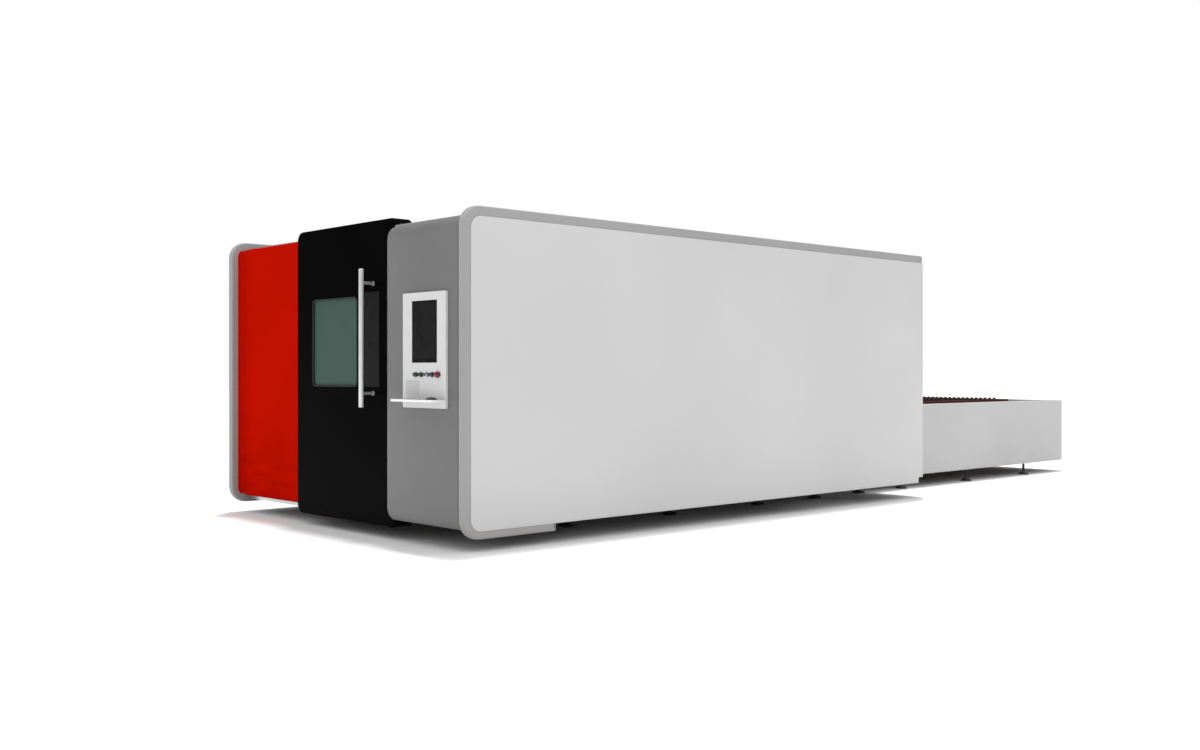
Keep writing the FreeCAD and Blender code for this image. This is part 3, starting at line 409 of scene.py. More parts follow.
def dress(material, *nodes):
    """Gives CAD nodes whose shape is right their finish."""
    for node in nodes:
        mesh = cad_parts[node].data
        mesh.materials.clear()
        mesh.materials.append(material)


frame_grey = painted("frame_grey", (0.315, 0.31, 0.31), 0.5, 0.05)
outer_corners = [(frame_low.x, frame_low.z), (frame_low.x + toe_length, frame_low.z),
                 (frame_low.x + toe_length, frame_low.z + toe_drop),
                 (frame_high.x - tail_length, frame_low.z + toe_drop),
                 (frame_high.x - tail_length, frame_low.z + toe_drop + tail_height),
                 (frame_high.x, frame_low.z + toe_drop + tail_height),
                 (frame_high.x, frame_high.z), (frame_low.x, frame_high.z)]
outer_radii = [front_arc] + [small_arc] * 5 + [tail_corner_radius, front_arc]
inner_floor = frame_low.z + toe_drop + tail_height + ring_member
inner_roof = frame_high.z - roof_member
inner_corners = [(frame_low.x + ring_member, inner_floor - bend),
                 (frame_low.x + toe_length, inner_floor - 3 * bend),
                 (frame_low.x + toe_length + 0.1, inner_floor - 2 * bend),
                 (frame_high.x - ring_member - 0.2, inner_floor - 3 * bend),
                 (frame_high.x - ring_member - 0.1, inner_floor - 2 * bend),
                 (frame_high.x - ring_member, inner_floor), (frame_high.x - ring_member, inner_roof),
                 (frame_low.x + ring_member, inner_roof)]
ring_outer = rounded_outline(outer_corners, outer_radii)
ring_inner = rounded_outline(inner_corners, [bay_corner_radius] + [small_arc] * 4
                             + [bay_corner_radius] * 3)
ring_depth = frame_high.y - frame_low.y
outer_face = frame_low.y
rim = soft_edge(ring_depth, ring_rim_radius)
ring_rows = np.vstack([drawn_in(ring_outer, rim[:, 0]), ring_inner[None], ring_inner[None]])
ring_levels = np.concatenate([outer_face + rim[:, 1], [frame_high.y, outer_face]])
right_ring = sheet_of_cells(stood_up(ring_rows, ring_levels, 1), close_rows=True)
bay = (inner_corners[5][0] - inner_corners[0][0] - post_count * post_width) / (post_count + 1)
post_start = inner_corners[0][0] + bay
right_posts = repeated(
    soft_block((post_start, outer_face + post_sink, inner_floor - post_lap),
               (post_start + post_width, frame_high.y - post_sink, inner_roof + post_lap),
               post_rim_radius),
    [((bay + post_width) * number, 0, 0) for number in range(post_count)])
piece("side_frame_rim_right", [right_ring, right_posts], frame_grey, "enclosure",
      ["side_frame_right"])
piece("side_frame_rim_left", [mirrored(right_ring), mirrored(right_posts)], frame_grey,
      "enclosure", ["side_frame_left"])

# ---- side panels ----
# One flat steel sheet a side, lapped on the frame ring and glued and screwed from inside. Its edges
# are turned back with a small rolled radius, and it is coated light grey.
panel_low, panel_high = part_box("side_panel_right")
panel_arc = 0.08
panel_rim_radius = 0.0018
panel_grey = painted("panel_grey", (0.525, 0.525, 0.525), 0.42, 0.045, 0.1)
panel_corners = [(panel_low.x, panel_low.z), (panel_high.x - tail_length, panel_low.z),
                 (panel_high.x - tail_length, panel_low.z + tail_height),
                 (panel_high.x, panel_low.z + tail_height), (panel_high.x, panel_high.z),
                 (panel_low.x, panel_high.z)]
panel_outline = rounded_outline(panel_corners, [panel_arc, 0.005, 0.005, 0.008, 0.008, panel_arc])
panel_sheet = pressed(panel_outline, soft_edge(panel_high.y - panel_low.y, panel_rim_radius), 1,
                      panel_low.y)
piece("side_sheet_right", [panel_sheet], panel_grey, "enclosure",
      ["side_panel_right"])
piece("side_sheet_left", [mirrored(panel_sheet)], panel_grey, "enclosure",
      ["side_panel_left"])

# ---- front frame and red panel ----
# The doorway is framed by welded tube. Beside it stands one fixed panel, a tray folded from thin
# sheet, crowned a little by the folding, sprayed red and clipped on from behind.
red_low, red_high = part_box("front_panel")
red_cove = 0.032
red_corner = 0.055
red_fold = 0.014
red_crown = 0.005
red_ripple = 0.0016
cove_end_gap = 0.004


def turned(profile, centre, axis, steps=24):
    """Solid of revolution: each (radius, level) pair goes round the axis through the centre."""
    profile = np.array(profile, float)
    angle = np.linspace(0, 2 * pi, steps, endpoint=False)
    circle = np.stack([np.cos(angle), np.sin(angle)], -1)
    rings = profile[:, 0, None, None] * circle[None]
    spots, quads, fans = sheet_of_cells(stood_up(rings, profile[:, 1], axis), cap=True)
    return spots + np.array(centre, float), quads, fans


def domed_screws(places, axis, facing, radius):
    """Button-head screws at the places: a dome standing off the sheet with a socket sunk in it."""
    dome = turned([(radius, 0), (radius, facing * radius * 0.2), (radius * 0.8, facing * radius * 0.5),
                   (radius * 0.42, facing * radius * 0.6), (radius * 0.40, facing * radius * 0.25)],
                  (0, 0, 0), axis, 12)
    return repeated(dome, places)


# Sprayed sheet: the powder coat with shallow dents and creases that grow towards the floor, and
# painted shade that darkens the colour along the creases.
crease_group, crease_in, crease_place = group_with(
    "creased_coat",
    [("Colour", "NodeSocketColor", (0.5, 0.5, 0.5, 1)), ("Roughness", "NodeSocketFloat", 0.4),
     ("Crease Top", "NodeSocketFloat", 0.9)],
    [("Colour", "NodeSocketColor"), ("Roughness", "NodeSocketFloat"),
     ("Height", "NodeSocketFloat")])
crease_fade = ranged(crease_group, level_in(crease_group, crease_place), 1.0, 0.0, 0.15,
                     crease_in["Crease Top"])
crease_stretch = crease_group.nodes.new("ShaderNodeMapping")
crease_stretch.inputs["Rotation"].default_value = (radians(38), 0, 0)
crease_stretch.inputs["Scale"].default_value = (1, 1.2, 5)
crease_group.links.new(crease_place, crease_stretch.inputs["Vector"])
crease_folds = noise_in(crease_group, crease_stretch.outputs[0], 2.2, 3.0)
crease_folds = times(crease_group, ranged(crease_group, crease_folds, 0, 1, 0.42, 0.68),
                     crease_fade)
# Painted shade: the colour is up to a fifth darker along the creases, times a slight random tone.
crease_shade_and_tone = times(crease_group, ranged(crease_group, crease_folds, 1.0, 0.8),
                    ranged(crease_group, noise_in(crease_group, crease_place, 0.8, 2.0),
                           0.94, 1.05, 0.3, 0.7))
crease_speck = ranged(crease_group, noise_in(crease_group, crease_place, 45.0, 4.0), -0.05, 0.05)
crease_grain = times(crease_group, noise_in(crease_group, crease_place, 500.0, 1.0), 0.05)
put_out(crease_group, Colour=shaded(crease_group, crease_in["Colour"], crease_shade_and_tone),
        Roughness=times(crease_group, crease_in["Roughness"], crease_speck, "ADD"),
        Height=times(crease_group, crease_folds, crease_grain, "ADD"))

sprayed_red = finished("sprayed_red", crease_group, {"Colour": (0.435, 0.005, 0.0006, 1),
                                                     "Roughness": 0.55}, 0.5)
sprayed_red.node_tree.nodes["Bump"].inputs["Distance"].default_value = 0.01
sprayed_red.node_tree.nodes["Principled BSDF"].inputs["Specular IOR Level"].default_value = 0.0
bright_steel = painted("screw_steel", (0.55, 0.55, 0.56), 0.3, 0.05, 0.0, Metallic=1.0)


def folded_tray(low, high, fold, crown, ripple, corner, cells=60):
    """Shallow tray open to the back: the face sags from its middle by the crown, falls away over a
    quarter circle at each edge, and waves by two crossed sines that fade upwards. The far corners
    are arcs: a point beyond the arc is drawn in along its radius."""
    quarter = fold * (1 - np.cos(np.linspace(0, pi / 2, 6)))
    spread = [np.concatenate([low[side] + quarter,
                              np.linspace(low[side] + fold, high[side] - fold, cells)[1:-1],
                              high[side] - quarter[::-1]]) for side in (1, 2)]
    across, up = np.meshgrid(*spread)
    past = np.maximum(corner - (high[1] - across), 0)
    upper = np.maximum(corner - (high[2] - up), 0)
    lower = np.maximum(corner - (up - low[2]), 0)
    away = np.hypot(past, upper + lower)
    pull = np.minimum(1, corner / np.maximum(away, 1e-9))
    across = across - past * (1 - pull)
    up = up - (upper - lower) * (1 - pull)
    place = [2 * (values - low[side]) / (high[side] - low[side]) - 1
             for side, values in ((1, across), (2, up))]
    edge = np.minimum(np.minimum(across - low[1], high[1] - across),
                      np.minimum(up - low[2], high[2] - up))
    edge = np.where((past > 0) & (upper + lower > 0), corner - away * pull, edge).clip(0, fold)
    fall = fold - np.sqrt(fold ** 2 - (fold - edge) ** 2)
    sag = crown * (1 - (1 - place[0] ** 2) * (1 - place[1] ** 2))
    fade = np.clip(0.5 - 0.9 * place[1], 0, 1) ** 2
    wave = np.sin(7 * place[0] + 9 * place[1]) + 0.6 * np.sin(15 * place[0] - 6 * place[1])
    rows, columns = across.shape
    points = np.empty((rows, columns + 2, 3))
    points[:, :columns, 0] = low[0] + fall + sag + ripple * fade * wave
    points[:, :columns, 1] = across
    points[:, :columns, 2] = up
    points[:, columns:, 0] = high[0]
    points[:, columns:, 1:] = points[:, [columns - 1, 0], 1:]
    return sheet_of_cells(points, cap=True)


def cove_strip(face, far, radius, low, high, fade):
    """Strip that turns the face forward on to the side frame: a hollow quarter circle in front, the
    square corner behind it, drawn from the same centre. Over the fade height at both ends its
    radius dies away along a quarter circle."""
    turn = np.linspace(0, pi / 2, 13)
    way = np.stack([np.cos(turn), np.sin(turn)], -1)[:, None]
    dying = np.linspace(0.15, pi / 2, 8)
    rise = fade * (1 - np.cos(dying))
    level = np.concatenate([low + rise, high - rise[::-1]])
    reach = radius * np.sin(dying)
    reach = np.concatenate([reach, reach[::-1]])[None, :, None]
    centre = np.array([face, far]) - reach
    front = centre + reach * way
    back = centre + (reach + 0.0005) / np.maximum(way[..., :1], way[..., 1:]) * way
    points = np.empty((len(turn), 2 * len(level), 3))
    points[..., :2] = np.concatenate([front, back[:, ::-1]], 1)
    points[..., 2] = np.concatenate([level, level[::-1]])
    return sheet_of_cells(points, cap=True)


red_plate_low = Vector((red_low.x + red_cove, red_low.y, red_low.z))
piece("red_front_panel",
      [folded_tray(red_plate_low, red_high, red_fold, red_crown, red_ripple, red_corner),
       cove_strip(red_plate_low.x + red_crown, red_high.y, red_cove + red_crown,
                  red_low.z + cove_end_gap, red_high.z - cove_end_gap, red_corner)],
      sprayed_red, "enclosure", ["front_panel"])
dress(painted("inner_frame_grey", (0.26, 0.26, 0.265), 0.5), "front_frame")

# ---- roof ----
# Three lift-off panels of folded sheet rest on cross tubes. A shallow rib is pressed round each
# one to stiffen it, and screws hold it down along its seams.
roof_low, roof_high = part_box("roof_panels")
roof_count = 3
roof_lap = 0.0005
roof_rib_inset = 0.09
roof_rib_height = 0.004
roof_rib_arc = 0.16
roof_corner_radius = 0.004
roof_screw_radius = 0.009
roof_screw_inset = 0.025
roof_grey = painted("roof_grey", (0.42, 0.42, 0.425), 0.5, 0.05, 0.1)

roof_step = (roof_high.x - roof_low.x) / roof_count
roof_depth = roof_high.z - roof_low.z
roof_edge = np.array([(0, 0), (0, roof_depth - 0.002), (0.0015, roof_depth), (0.005, roof_depth)])
roof_rib = np.array([(0, 0), (0.008, roof_rib_height), (0.022, roof_rib_height), (0.03, 0),
                     (0.045, 0)]) + [roof_rib_inset, roof_depth]
roof_sheets, roof_screws = [], []
for number in range(roof_count):
    start = roof_low.x + number * roof_step + roof_lap
    stop = start + roof_step - 2 * roof_lap
    corners = [(start, roof_low.y), (stop, roof_low.y), (stop, roof_high.y),
               (start, roof_high.y)]
    roof_sheets.append(sheet_of_cells(np.vstack(
        [stood_up(drawn_in(rounded_outline(corners, [radius] * 4), inset), roof_low.z + level, 2)
         for radius, (inset, level) in ((roof_corner_radius, roof_edge.T),
                                        (roof_rib_arc, roof_rib.T))]), cap=True))
    across = np.linspace(roof_low.y + 0.1, roof_high.y - 0.1, 7)
    roof_screws += [(x, y, roof_high.z)
                    for x in (start + roof_screw_inset, stop - roof_screw_inset) for y in across]
piece("roof_sheets", roof_sheets, roof_grey, "enclosure", ["roof_panels"])
dress(roof_grey, "roof_frame")
piece("shell_screws", [domed_screws(roof_screws, 2, 1, roof_screw_radius)], bright_steel,
      "enclosure")

# ---- rear wall ----
# Flat panels close the rear round the pallet mouth. A pressed louvre bank on each side lets the
# extraction air in, and a black rubber strip edges the mouth.
rear_low, rear_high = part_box("rear_side_panels")
mouth_low, mouth_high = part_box("rear_top_panel")
louvre_count = 9
louvre_pitch = 0.045
louvre_length = 0.34
louvre_height = 0.018
louvre_start = 1.35
dress(panel_grey, "rear_side_panels", "rear_top_panel")


def louvre_bank(x, y_middle):
    """Pressed louvres: each is a long blister whose section is half a drop, higher at its lower
    lip."""
    along = np.linspace(-1, 1, 15)
    round_section = np.linspace(0, pi, 9)
    swell = np.sqrt(np.clip(1 - along ** 4, 0.0004, 1))[:, None]
    depth = np.sin(round_section)[None] * swell * louvre_height
    lip = louvre_height * 0.8
    rows = np.empty((15, 9, 3))
    rows[..., 0] = depth
    rows[..., 1] = (along * louvre_length / 2)[:, None]
    rows[..., 2] = lip * np.cos(round_section)[None] * swell - 0.35 * depth
    blister = sheet_of_cells(rows, cap=True)
    return repeated(blister, [(x, y_middle, louvre_start + louvre_pitch * step)
                              for step in range(louvre_count)])


rear_middle = (rear_high.y + mouth_high.y) / 2
piece("rear_louvres",
      [louvre_bank(rear_high.x - 0.001, side * rear_middle) for side in (-1, 1)], panel_grey,
      "enclosure")
rubber_black = finished("rubber_black", coat_group,
                        {"Colour": (0.012, 0.012, 0.012, 1), "Roughness": 0.75,
                         "Unevenness": 0.15, "Dust": 0.3}, 0.4)
seal_proud, seal_overhang, seal_lap, seal_rim_radius = 0.006, 0.012, 0.02, 0.0025
seal_floor = rear_low.z + 0.7
seal_back = mouth_high.x - 0.001
mouth_strip = soft_block(
    (seal_back, mouth_low.y, mouth_low.z - seal_overhang),
    (mouth_high.x + seal_proud, mouth_high.y, mouth_low.z + seal_lap), seal_rim_radius)
mouth_side = soft_block(
    (seal_back, mouth_high.y - seal_overhang, seal_floor),
    (mouth_high.x + seal_proud, mouth_high.y + seal_lap, mouth_low.z - seal_overhang),
    seal_rim_radius)
piece("mouth_seal", [mouth_strip, mouth_side, mirrored(mouth_side)], rubber_black,
      "enclosure")

# ---- console column and cabinet ----
# The control cabinet is a folded steel box behind a formed column cover with one broad rounded
# edge beside the door. Both are coated a darker grey; where a name plate would be it is bare.
column_low, column_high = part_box("console_column")
column_grey = painted("column_grey", (0.150, 0.150, 0.151), 0.42, 0.16, 0.1)
dress(column_grey, "console_cabinet")
cover_roll = 0.08
cover_roll_depth = 0.033
cover_corner = 0.085
flat_insets = cover_roll * (1 - np.cos(np.linspace(0, pi / 2, 10)))
roll_fall = cover_roll_depth * (1 - np.sqrt(1 - (1 - flat_insets / cover_roll) ** 2))
cover_outline = rounded_outline(
    [(column_low.y, column_low.z), (column_high.y, column_low.z),
     (column_high.y, column_high.z), (column_low.y, column_high.z)],
    [0.004, cover_corner, cover_corner, 0.004], 12)
cover_insets = np.concatenate([[0], flat_insets])
cover_rings = drawn_in(cover_outline, cover_insets)
against_frame = cover_outline[:, 0] < column_low.y + 0.005
cover_rings[..., 0] = np.where(against_frame, cover_outline[:, 0], cover_rings[..., 0])
cover_rings[..., 1] = np.clip(cover_rings[..., 1], column_low.z + cover_insets[:, None],
                              column_high.z - cover_insets[:, None])
cover_levels = np.concatenate([[column_high.x], column_low.x + roll_fall])
piece("column_cover", [sheet_of_cells(stood_up(cover_rings, cover_levels, 0), cap=True)],
      column_grey, "enclosure", ["console_column"])

# ---- console bezel, screen and controls ----
# A white moulded bezel carries a glass screen, a row of five controls on a dark strip and a paler
# port cover. The glass lies in a black mask round the display.
bezel_low, bezel_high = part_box("console_bezel")
screen_low, screen_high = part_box("console_screen")
screen_border = 0.014
screen_glass_lift = 0.0012

# Moulded plastic: a fine spark-eroded texture with slight shine differences and handling marks.
mould_group, mould_in, mould_place = group_with(
    "moulded_plastic",
    [("Colour", "NodeSocketColor", (0.5, 0.5, 0.5, 1)), ("Roughness", "NodeSocketFloat", 0.4),
     ("Texture Scale", "NodeSocketFloat", 1800.0), ("Handling", "NodeSocketFloat", 0.1)],
    [("Colour", "NodeSocketColor"), ("Roughness", "NodeSocketFloat"),
     ("Height", "NodeSocketFloat")])
mould_worn = times(mould_group, ranged(mould_group, noise_in(mould_group, mould_place, 12.0, 5.0),
                                       0.0, 1.0, 0.45, 0.7), mould_in["Handling"])
put_out(mould_group, Height=noise_in(mould_group, mould_place, mould_in["Texture Scale"], 2.0),
        Colour=shaded(mould_group, mould_in["Colour"],
                      times(mould_group, 1.0, mould_worn, "SUBTRACT")),
        Roughness=times(mould_group, mould_in["Roughness"],
                        times(mould_group, mould_worn, 0.8), "SUBTRACT"))


def moulded(name, colour, roughness=0.4, handling=0.08, **sockets):
    """Moulded plastic in one colour."""
    values = {"Colour": (*colour, 1), "Roughness": roughness, "Handling": handling}
    return finished(name, mould_group, values, 0.12, **sockets)


bezel_white = moulded("bezel_white", (0.585, 0.585, 0.59), 0.5, 0.03, Specular_IOR_Level=0.2)
dress(bezel_white, "console_bezel")
screen_black = moulded("screen_black", (0.009, 0.009, 0.010), 0.3, 0.3,
                       Specular_IOR_Level=0.03)
display_dark = moulded("display_dark", (0.013, 0.013, 0.014), 0.35, 0.2,
                       Specular_IOR_Level=0.03)
screen_glass = soft_block(screen_low, screen_high, 0.0015, 0)
piece("screen_mask", [screen_glass], screen_black, "enclosure",
      ["console_screen"])
display_low = (screen_low.x - screen_glass_lift, screen_low.y + screen_border,
               screen_low.z + 2 * screen_border)
display_high = (screen_low.x + 0.001, screen_high.y - screen_border, screen_high.z - screen_border)
piece("screen_display", [soft_block(display_low, display_high, 0.0008, 0)], display_dark,
      "enclosure")

strip_height = 0.022
strip_margin = 0.022
port_inset, port_width = 0.038, 0.153
port_rise, port_height = 0.090, 0.090
strip_black = moulded("strip_black", (0.03, 0.03, 0.032), 0.5, 0.2, Specular_IOR_Level=0.2)
strip_right, strip_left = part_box("emergency_stop")[0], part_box("start_button")[1]
strip_middle = (strip_right.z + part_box("emergency_stop")[1].z) / 2
control_strip = soft_block(
    (bezel_low.x - 0.0012, strip_right.y - strip_margin * 0.4, strip_middle - strip_height / 2),
    (bezel_low.x + 0.0005, strip_left.y + strip_margin, strip_middle + strip_height / 2),
    0.0008, 0)
piece("control_strip", [control_strip], strip_black, "enclosure")
port_cover = soft_block(
    (bezel_low.x - 0.0015, bezel_high.y - port_inset - port_width, bezel_low.z + port_rise),
    (bezel_low.x + 0.0005, bezel_high.y - port_inset, bezel_low.z + port_rise + port_height),
    0.001, 0)
piece("port_cover", [port_cover], moulded("port_grey", (0.50, 0.50, 0.50), 0.5, 0.08),
      "enclosure")
plain_neck = 0.011
controls = (("start_button", "start", "button_green", (0.006, 0.045, 0.018), 0.0015),
            ("pause_button", "pause", "button_black", (0.02, 0.02, 0.022), 0.0015),
            ("reset_button", "reset", "button_blue", (0.006, 0.018, 0.075), 0.0015),
            ("emergency_stop", "stop", "button_red", (0.20, 0.006, 0.005), 0.004))
collars = []
collar_steel = painted("collar_steel", (0.10, 0.10, 0.105), 0.4, 0.1, 0.0, Metallic=0.6)


def middle_of(low, high):
    """Middle of a box across the machine and upwards, at no station along it."""
    return 0, (low.y + high.y) / 2, (low.z + high.z) / 2


def collar(low, high, head_radius):
    """Chromed ring on the bezel that a control sinks into: a short cone outside, a plain bore."""
    turn = np.linspace(0, 2 * pi, 32, endpoint=False)
    rim = (head_radius + 0.0024) * np.stack([np.cos(turn), np.sin(turn)], -1)
    rim += np.array(middle_of(low, high))[1:]
    return pressed(rim, [(0, 0.0005), (0, -0.0015), (0.0015, -0.0035), (0.0019, -0.0035),
                         (0.0019, 0.0005)], 0, bezel_low.x, hoop=True)


for node, body, slot, colour, dome in controls:
    low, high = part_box(node)
    head = (high.z - low.z) / 2
    shoulder = bezel_low.x - (0.006 if body == "stop" else 0.005)
    profile = [(plain_neck, high.x), (plain_neck, shoulder), (head, shoulder),
               (head, low.x + dome + 0.003), (head * 0.9, low.x + dome),
               (head * 0.55, low.x + dome * 0.3), (head * 0.1, low.x)]
    piece(node + "_cap", [turned(profile, middle_of(low, high), 0, 32)],
          moulded(node + "_plastic", colour, 0.3, 0.2), body, [node])
    collars.append(collar(low, high, head))

key_low, key_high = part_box("key_switch")
key_barrel = 0.015
key_face = bezel_low.x - 0.001
key_bow_edge = bezel_low.x - 0.007
key_bow_inset = 0.006
key_bow_thickness = 0.003
collars.append(collar(key_low, key_high, key_barrel))
barrel = turned([(plain_neck, key_high.x), (plain_neck, key_face), (key_barrel, key_face),
                 (key_barrel, key_face - 0.005), (key_barrel * 0.8, key_face - 0.006)],
                middle_of(key_low, key_high), 0, 32)
bow_floor, bow_roof = key_low.z + key_bow_inset, key_high.z - key_bow_inset
bow_outline = rounded_outline([(key_low.x, bow_floor), (key_bow_edge, bow_floor),
                               (key_bow_edge, bow_roof), (key_low.x, bow_roof)],
                              [0.006, 0.003, 0.003, 0.006])
bow = pressed(bow_outline, soft_edge(key_bow_thickness, 0.0008), 1,
              middle_of(key_low, key_high)[1] - key_bow_thickness / 2)
piece("key_and_barrel", [barrel, bow], bright_steel, "key", ["key_switch"])
piece("control_collars", collars, collar_steel, "enclosure")

# ---- keyboard tray, keyboard and mouse ----
# A thin white folded tray juts out below the screen. On it lie a compact keyboard whose keys are
# separate caps, and a two-button mouse with a rubber wheel.
board_low, board_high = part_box("keyboard")
mouse_low, mouse_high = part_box("mouse")
key_rows = 5
key_columns = 15
key_gap = 0.0025
key_lift = 0.0028
key_margin = 0.006
dress(moulded("tray_white", (0.80, 0.80, 0.80), 0.4, 0.1), "keyboard_tray")
board_grey = moulded("board_grey", (0.055, 0.055, 0.06), 0.5, 0.2)
board_body = soft_block(board_low, (board_high.x, board_high.y, board_high.z - 0.003), 0.003)
key_pitch_x = (board_high.x - board_low.x - 2 * key_margin) / key_rows
key_pitch_y = (board_high.y - board_low.y - 2 * key_margin) / key_columns


def key_cap(x, y, width):
    """One key cap: a square frustum with rounded corners, narrower at its dished top."""
    corners = [(x, y), (x + key_pitch_x - key_gap, y), (x + key_pitch_x - key_gap, y + width),
               (x, y + width)]
    return pressed(rounded_outline(corners, [0.0022] * 4, 3),
                   [(0, -0.001), (0, 0.0006), (0.0012, key_lift), (0.003, key_lift - 0.0003)], 2,
                   board_high.z - 0.003)


caps = [key_cap(board_low.x + key_margin + key_pitch_x * row,
                board_low.y + key_margin + key_pitch_y * column, key_pitch_y - key_gap)
        for row in range(key_rows) for column in range(key_columns)
        if row or column < 4 or column > 9]
caps.append(key_cap(board_low.x + key_margin, board_low.y + key_margin + 4 * key_pitch_y,
                    6 * key_pitch_y - key_gap))
piece("keyboard_body", [board_body], board_grey, "enclosure", ["keyboard"])
piece("keyboard_keys", caps, moulded("key_grey", (0.11, 0.11, 0.115), 0.45, 0.3), "enclosure")


def mouse_shell(low, high):
    """Half egg: height is the root of one less the squared distance from the middle, skewed so the
    palm end is fuller, over a flat sole."""
    middle, half = (low + high) / 2, (high - low) / 2
    rise = np.linspace(0, pi / 2 * 0.98, 14)[:, None]
    round_angle = np.linspace(0, 2 * pi, 40, endpoint=False)[None]
    reach = np.cos(rise) ** 0.8
    along = reach * np.cos(round_angle)
    points = np.empty((15, 40, 3))
    points[1:, :, 0] = middle.x + half.x * along
    points[1:, :, 1] = middle.y + half.y * reach * np.sin(round_angle) * (1 - 0.10 * along ** 2)
    points[1:, :, 2] = low.z + 2 * half.z * np.sin(rise) * (0.90 - 0.10 * along)
    points[0] = points[1] * [1, 1, 0] + [0, 0, low.z]
    points[1:, :, 2] += 0.002 * np.cos(rise)
    return sheet_of_cells(points, cap=True)


mouse_wheel = turned([(0.007, -0.0035), (0.008, -0.002), (0.008, 0.002), (0.007, 0.0035)],
                     (mouse_high.x - 0.026, (mouse_low.y + mouse_high.y) / 2,
                      mouse_high.z - 0.0108), 1, 20)
piece("mouse_shell", [mouse_shell(mouse_low, mouse_high)], board_grey, "enclosure",
      ["mouse"])
piece("mouse_wheel", [mouse_wheel], rubber_black, "enclosure")

# ---- sliding door ----
# A large folded door hangs on two slide blocks and is lacquered gloss black. Its window is a
# green laser-safe pane held in a rubber gasket.
door_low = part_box("sliding_door")[0]
pane_low, pane_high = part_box("door_window")
pane_arc = 0.055
pane_lap = 0.014
gasket_width = 0.012
gasket_proud = 0.004
gloss_black = painted("gloss_black", (0.0016, 0.0016, 0.0018), 0.3, 0.3, 0.008,
                      Specular_IOR_Level=0.006)
dress(gloss_black, "sliding_door")

# Tinted pane: the tint is in the sheet, with a faint broad cloudiness.
pane_group, pane_in, pane_place = group_with(
    "tinted_sheet",
    [("Colour", "NodeSocketColor", (0.1, 0.2, 0.15, 1)), ("Roughness", "NodeSocketFloat", 0.1)],
    [("Colour", "NodeSocketColor"), ("Roughness", "NodeSocketFloat")])
pane_cloud = ranged(pane_group, noise_in(pane_group, pane_place, 2.0, 2.0), 0.94, 1.06, 0.3, 0.7)
pane_haze = ranged(pane_group, noise_in(pane_group, pane_place, 30.0, 5.0), 0, 0.06, 0.4, 0.7)
put_out(pane_group, Colour=shaded(pane_group, pane_in["Colour"], pane_cloud),
        Roughness=times(pane_group, pane_in["Roughness"], pane_haze, "ADD"))
window_green = finished("window_green", pane_group,
                        {"Colour": (0.052, 0.091, 0.077, 1), "Roughness": 0.2},
                        Specular_IOR_Level=0.03)
dress(window_green, "door_window")
pane_corners = [(pane_low.y + pane_lap, pane_low.z + pane_lap),
                (pane_high.y - pane_lap, pane_low.z + pane_lap),
                (pane_high.y - pane_lap, pane_high.z - pane_lap),
                (pane_low.y + pane_lap, pane_high.z - pane_lap)]
lip_turn = np.linspace(0, pi, 7)
lip = [(gasket_width / 2 * (1 - np.cos(turn)), -gasket_proud * np.sin(turn)) for turn in lip_turn]
gasket = pressed(rounded_outline(pane_corners, [pane_arc - pane_lap] * 4),
                 [(0, pane_low.x - door_low.x)] + lip + [(gasket_width, pane_low.x - door_low.x)],
                 0, door_low.x, hoop=True)
piece("window_gasket", [gasket], rubber_black, "door")

# ---- door handle ----
# A stainless pull bar of brushed tube with domed plugs stands on two turned posts in front of a
# dark backing plate. Each post has a flange screwed to the door.
bar_low, bar_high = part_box("door_handle")
bar_radius = (bar_high.y - bar_low.y) / 2
post_radius = 0.011
post_inset = 0.098
flange_radius = 0.017
flange_depth = 0.008

# Brushed metal: fine scratches drawn out along one axis, a little mottling, worn shine.
brush_group, brush_in, brush_place = group_with(
    "brushed_metal",
    [("Colour", "NodeSocketColor", (0.6, 0.6, 0.6, 1)), ("Roughness", "NodeSocketFloat", 0.3),
     ("Stretch", "NodeSocketVector", (1.0, 1.0, 0.02)), ("Mottle", "NodeSocketFloat", 0.08)],
    [("Colour", "NodeSocketColor"), ("Roughness", "NodeSocketFloat"),
     ("Height", "NodeSocketFloat")])
brush_map = brush_group.nodes.new("ShaderNodeVectorMath")
brush_map.operation = "MULTIPLY"
brush_group.links.new(brush_place, brush_map.inputs[0])
brush_group.links.new(brush_in["Stretch"], brush_map.inputs[1])
brush_lines = noise_in(brush_group, brush_map.outputs[0], 900.0, 3.0)
brush_mottle = times(brush_group, ranged(brush_group, noise_in(brush_group, brush_place, 9.0, 4.0),
                                         -1.0, 1.0, 0.3, 0.7), brush_in["Mottle"])
put_out(brush_group, Height=brush_lines,
        Colour=shaded(brush_group, brush_in["Colour"],
                      times(brush_group, 1.0, brush_mottle, "ADD")),
        Roughness=times(brush_group, brush_in["Roughness"],
                        ranged(brush_group, brush_lines, -0.08, 0.1, 0.3, 0.7), "ADD"))


def brushed(name, colour, roughness=0.3, stretch=(1.0, 1.0, 0.02), mottle=0.08, **sockets):
    """Bare metal brushed or ground along the axis whose stretch is small."""
    values = {"Colour": (*colour, 1), "Roughness": roughness, "Stretch": stretch,
              "Mottle": mottle}
    return finished(name, brush_group, values, 0.1, **{"Metallic": 0.85, **sockets})


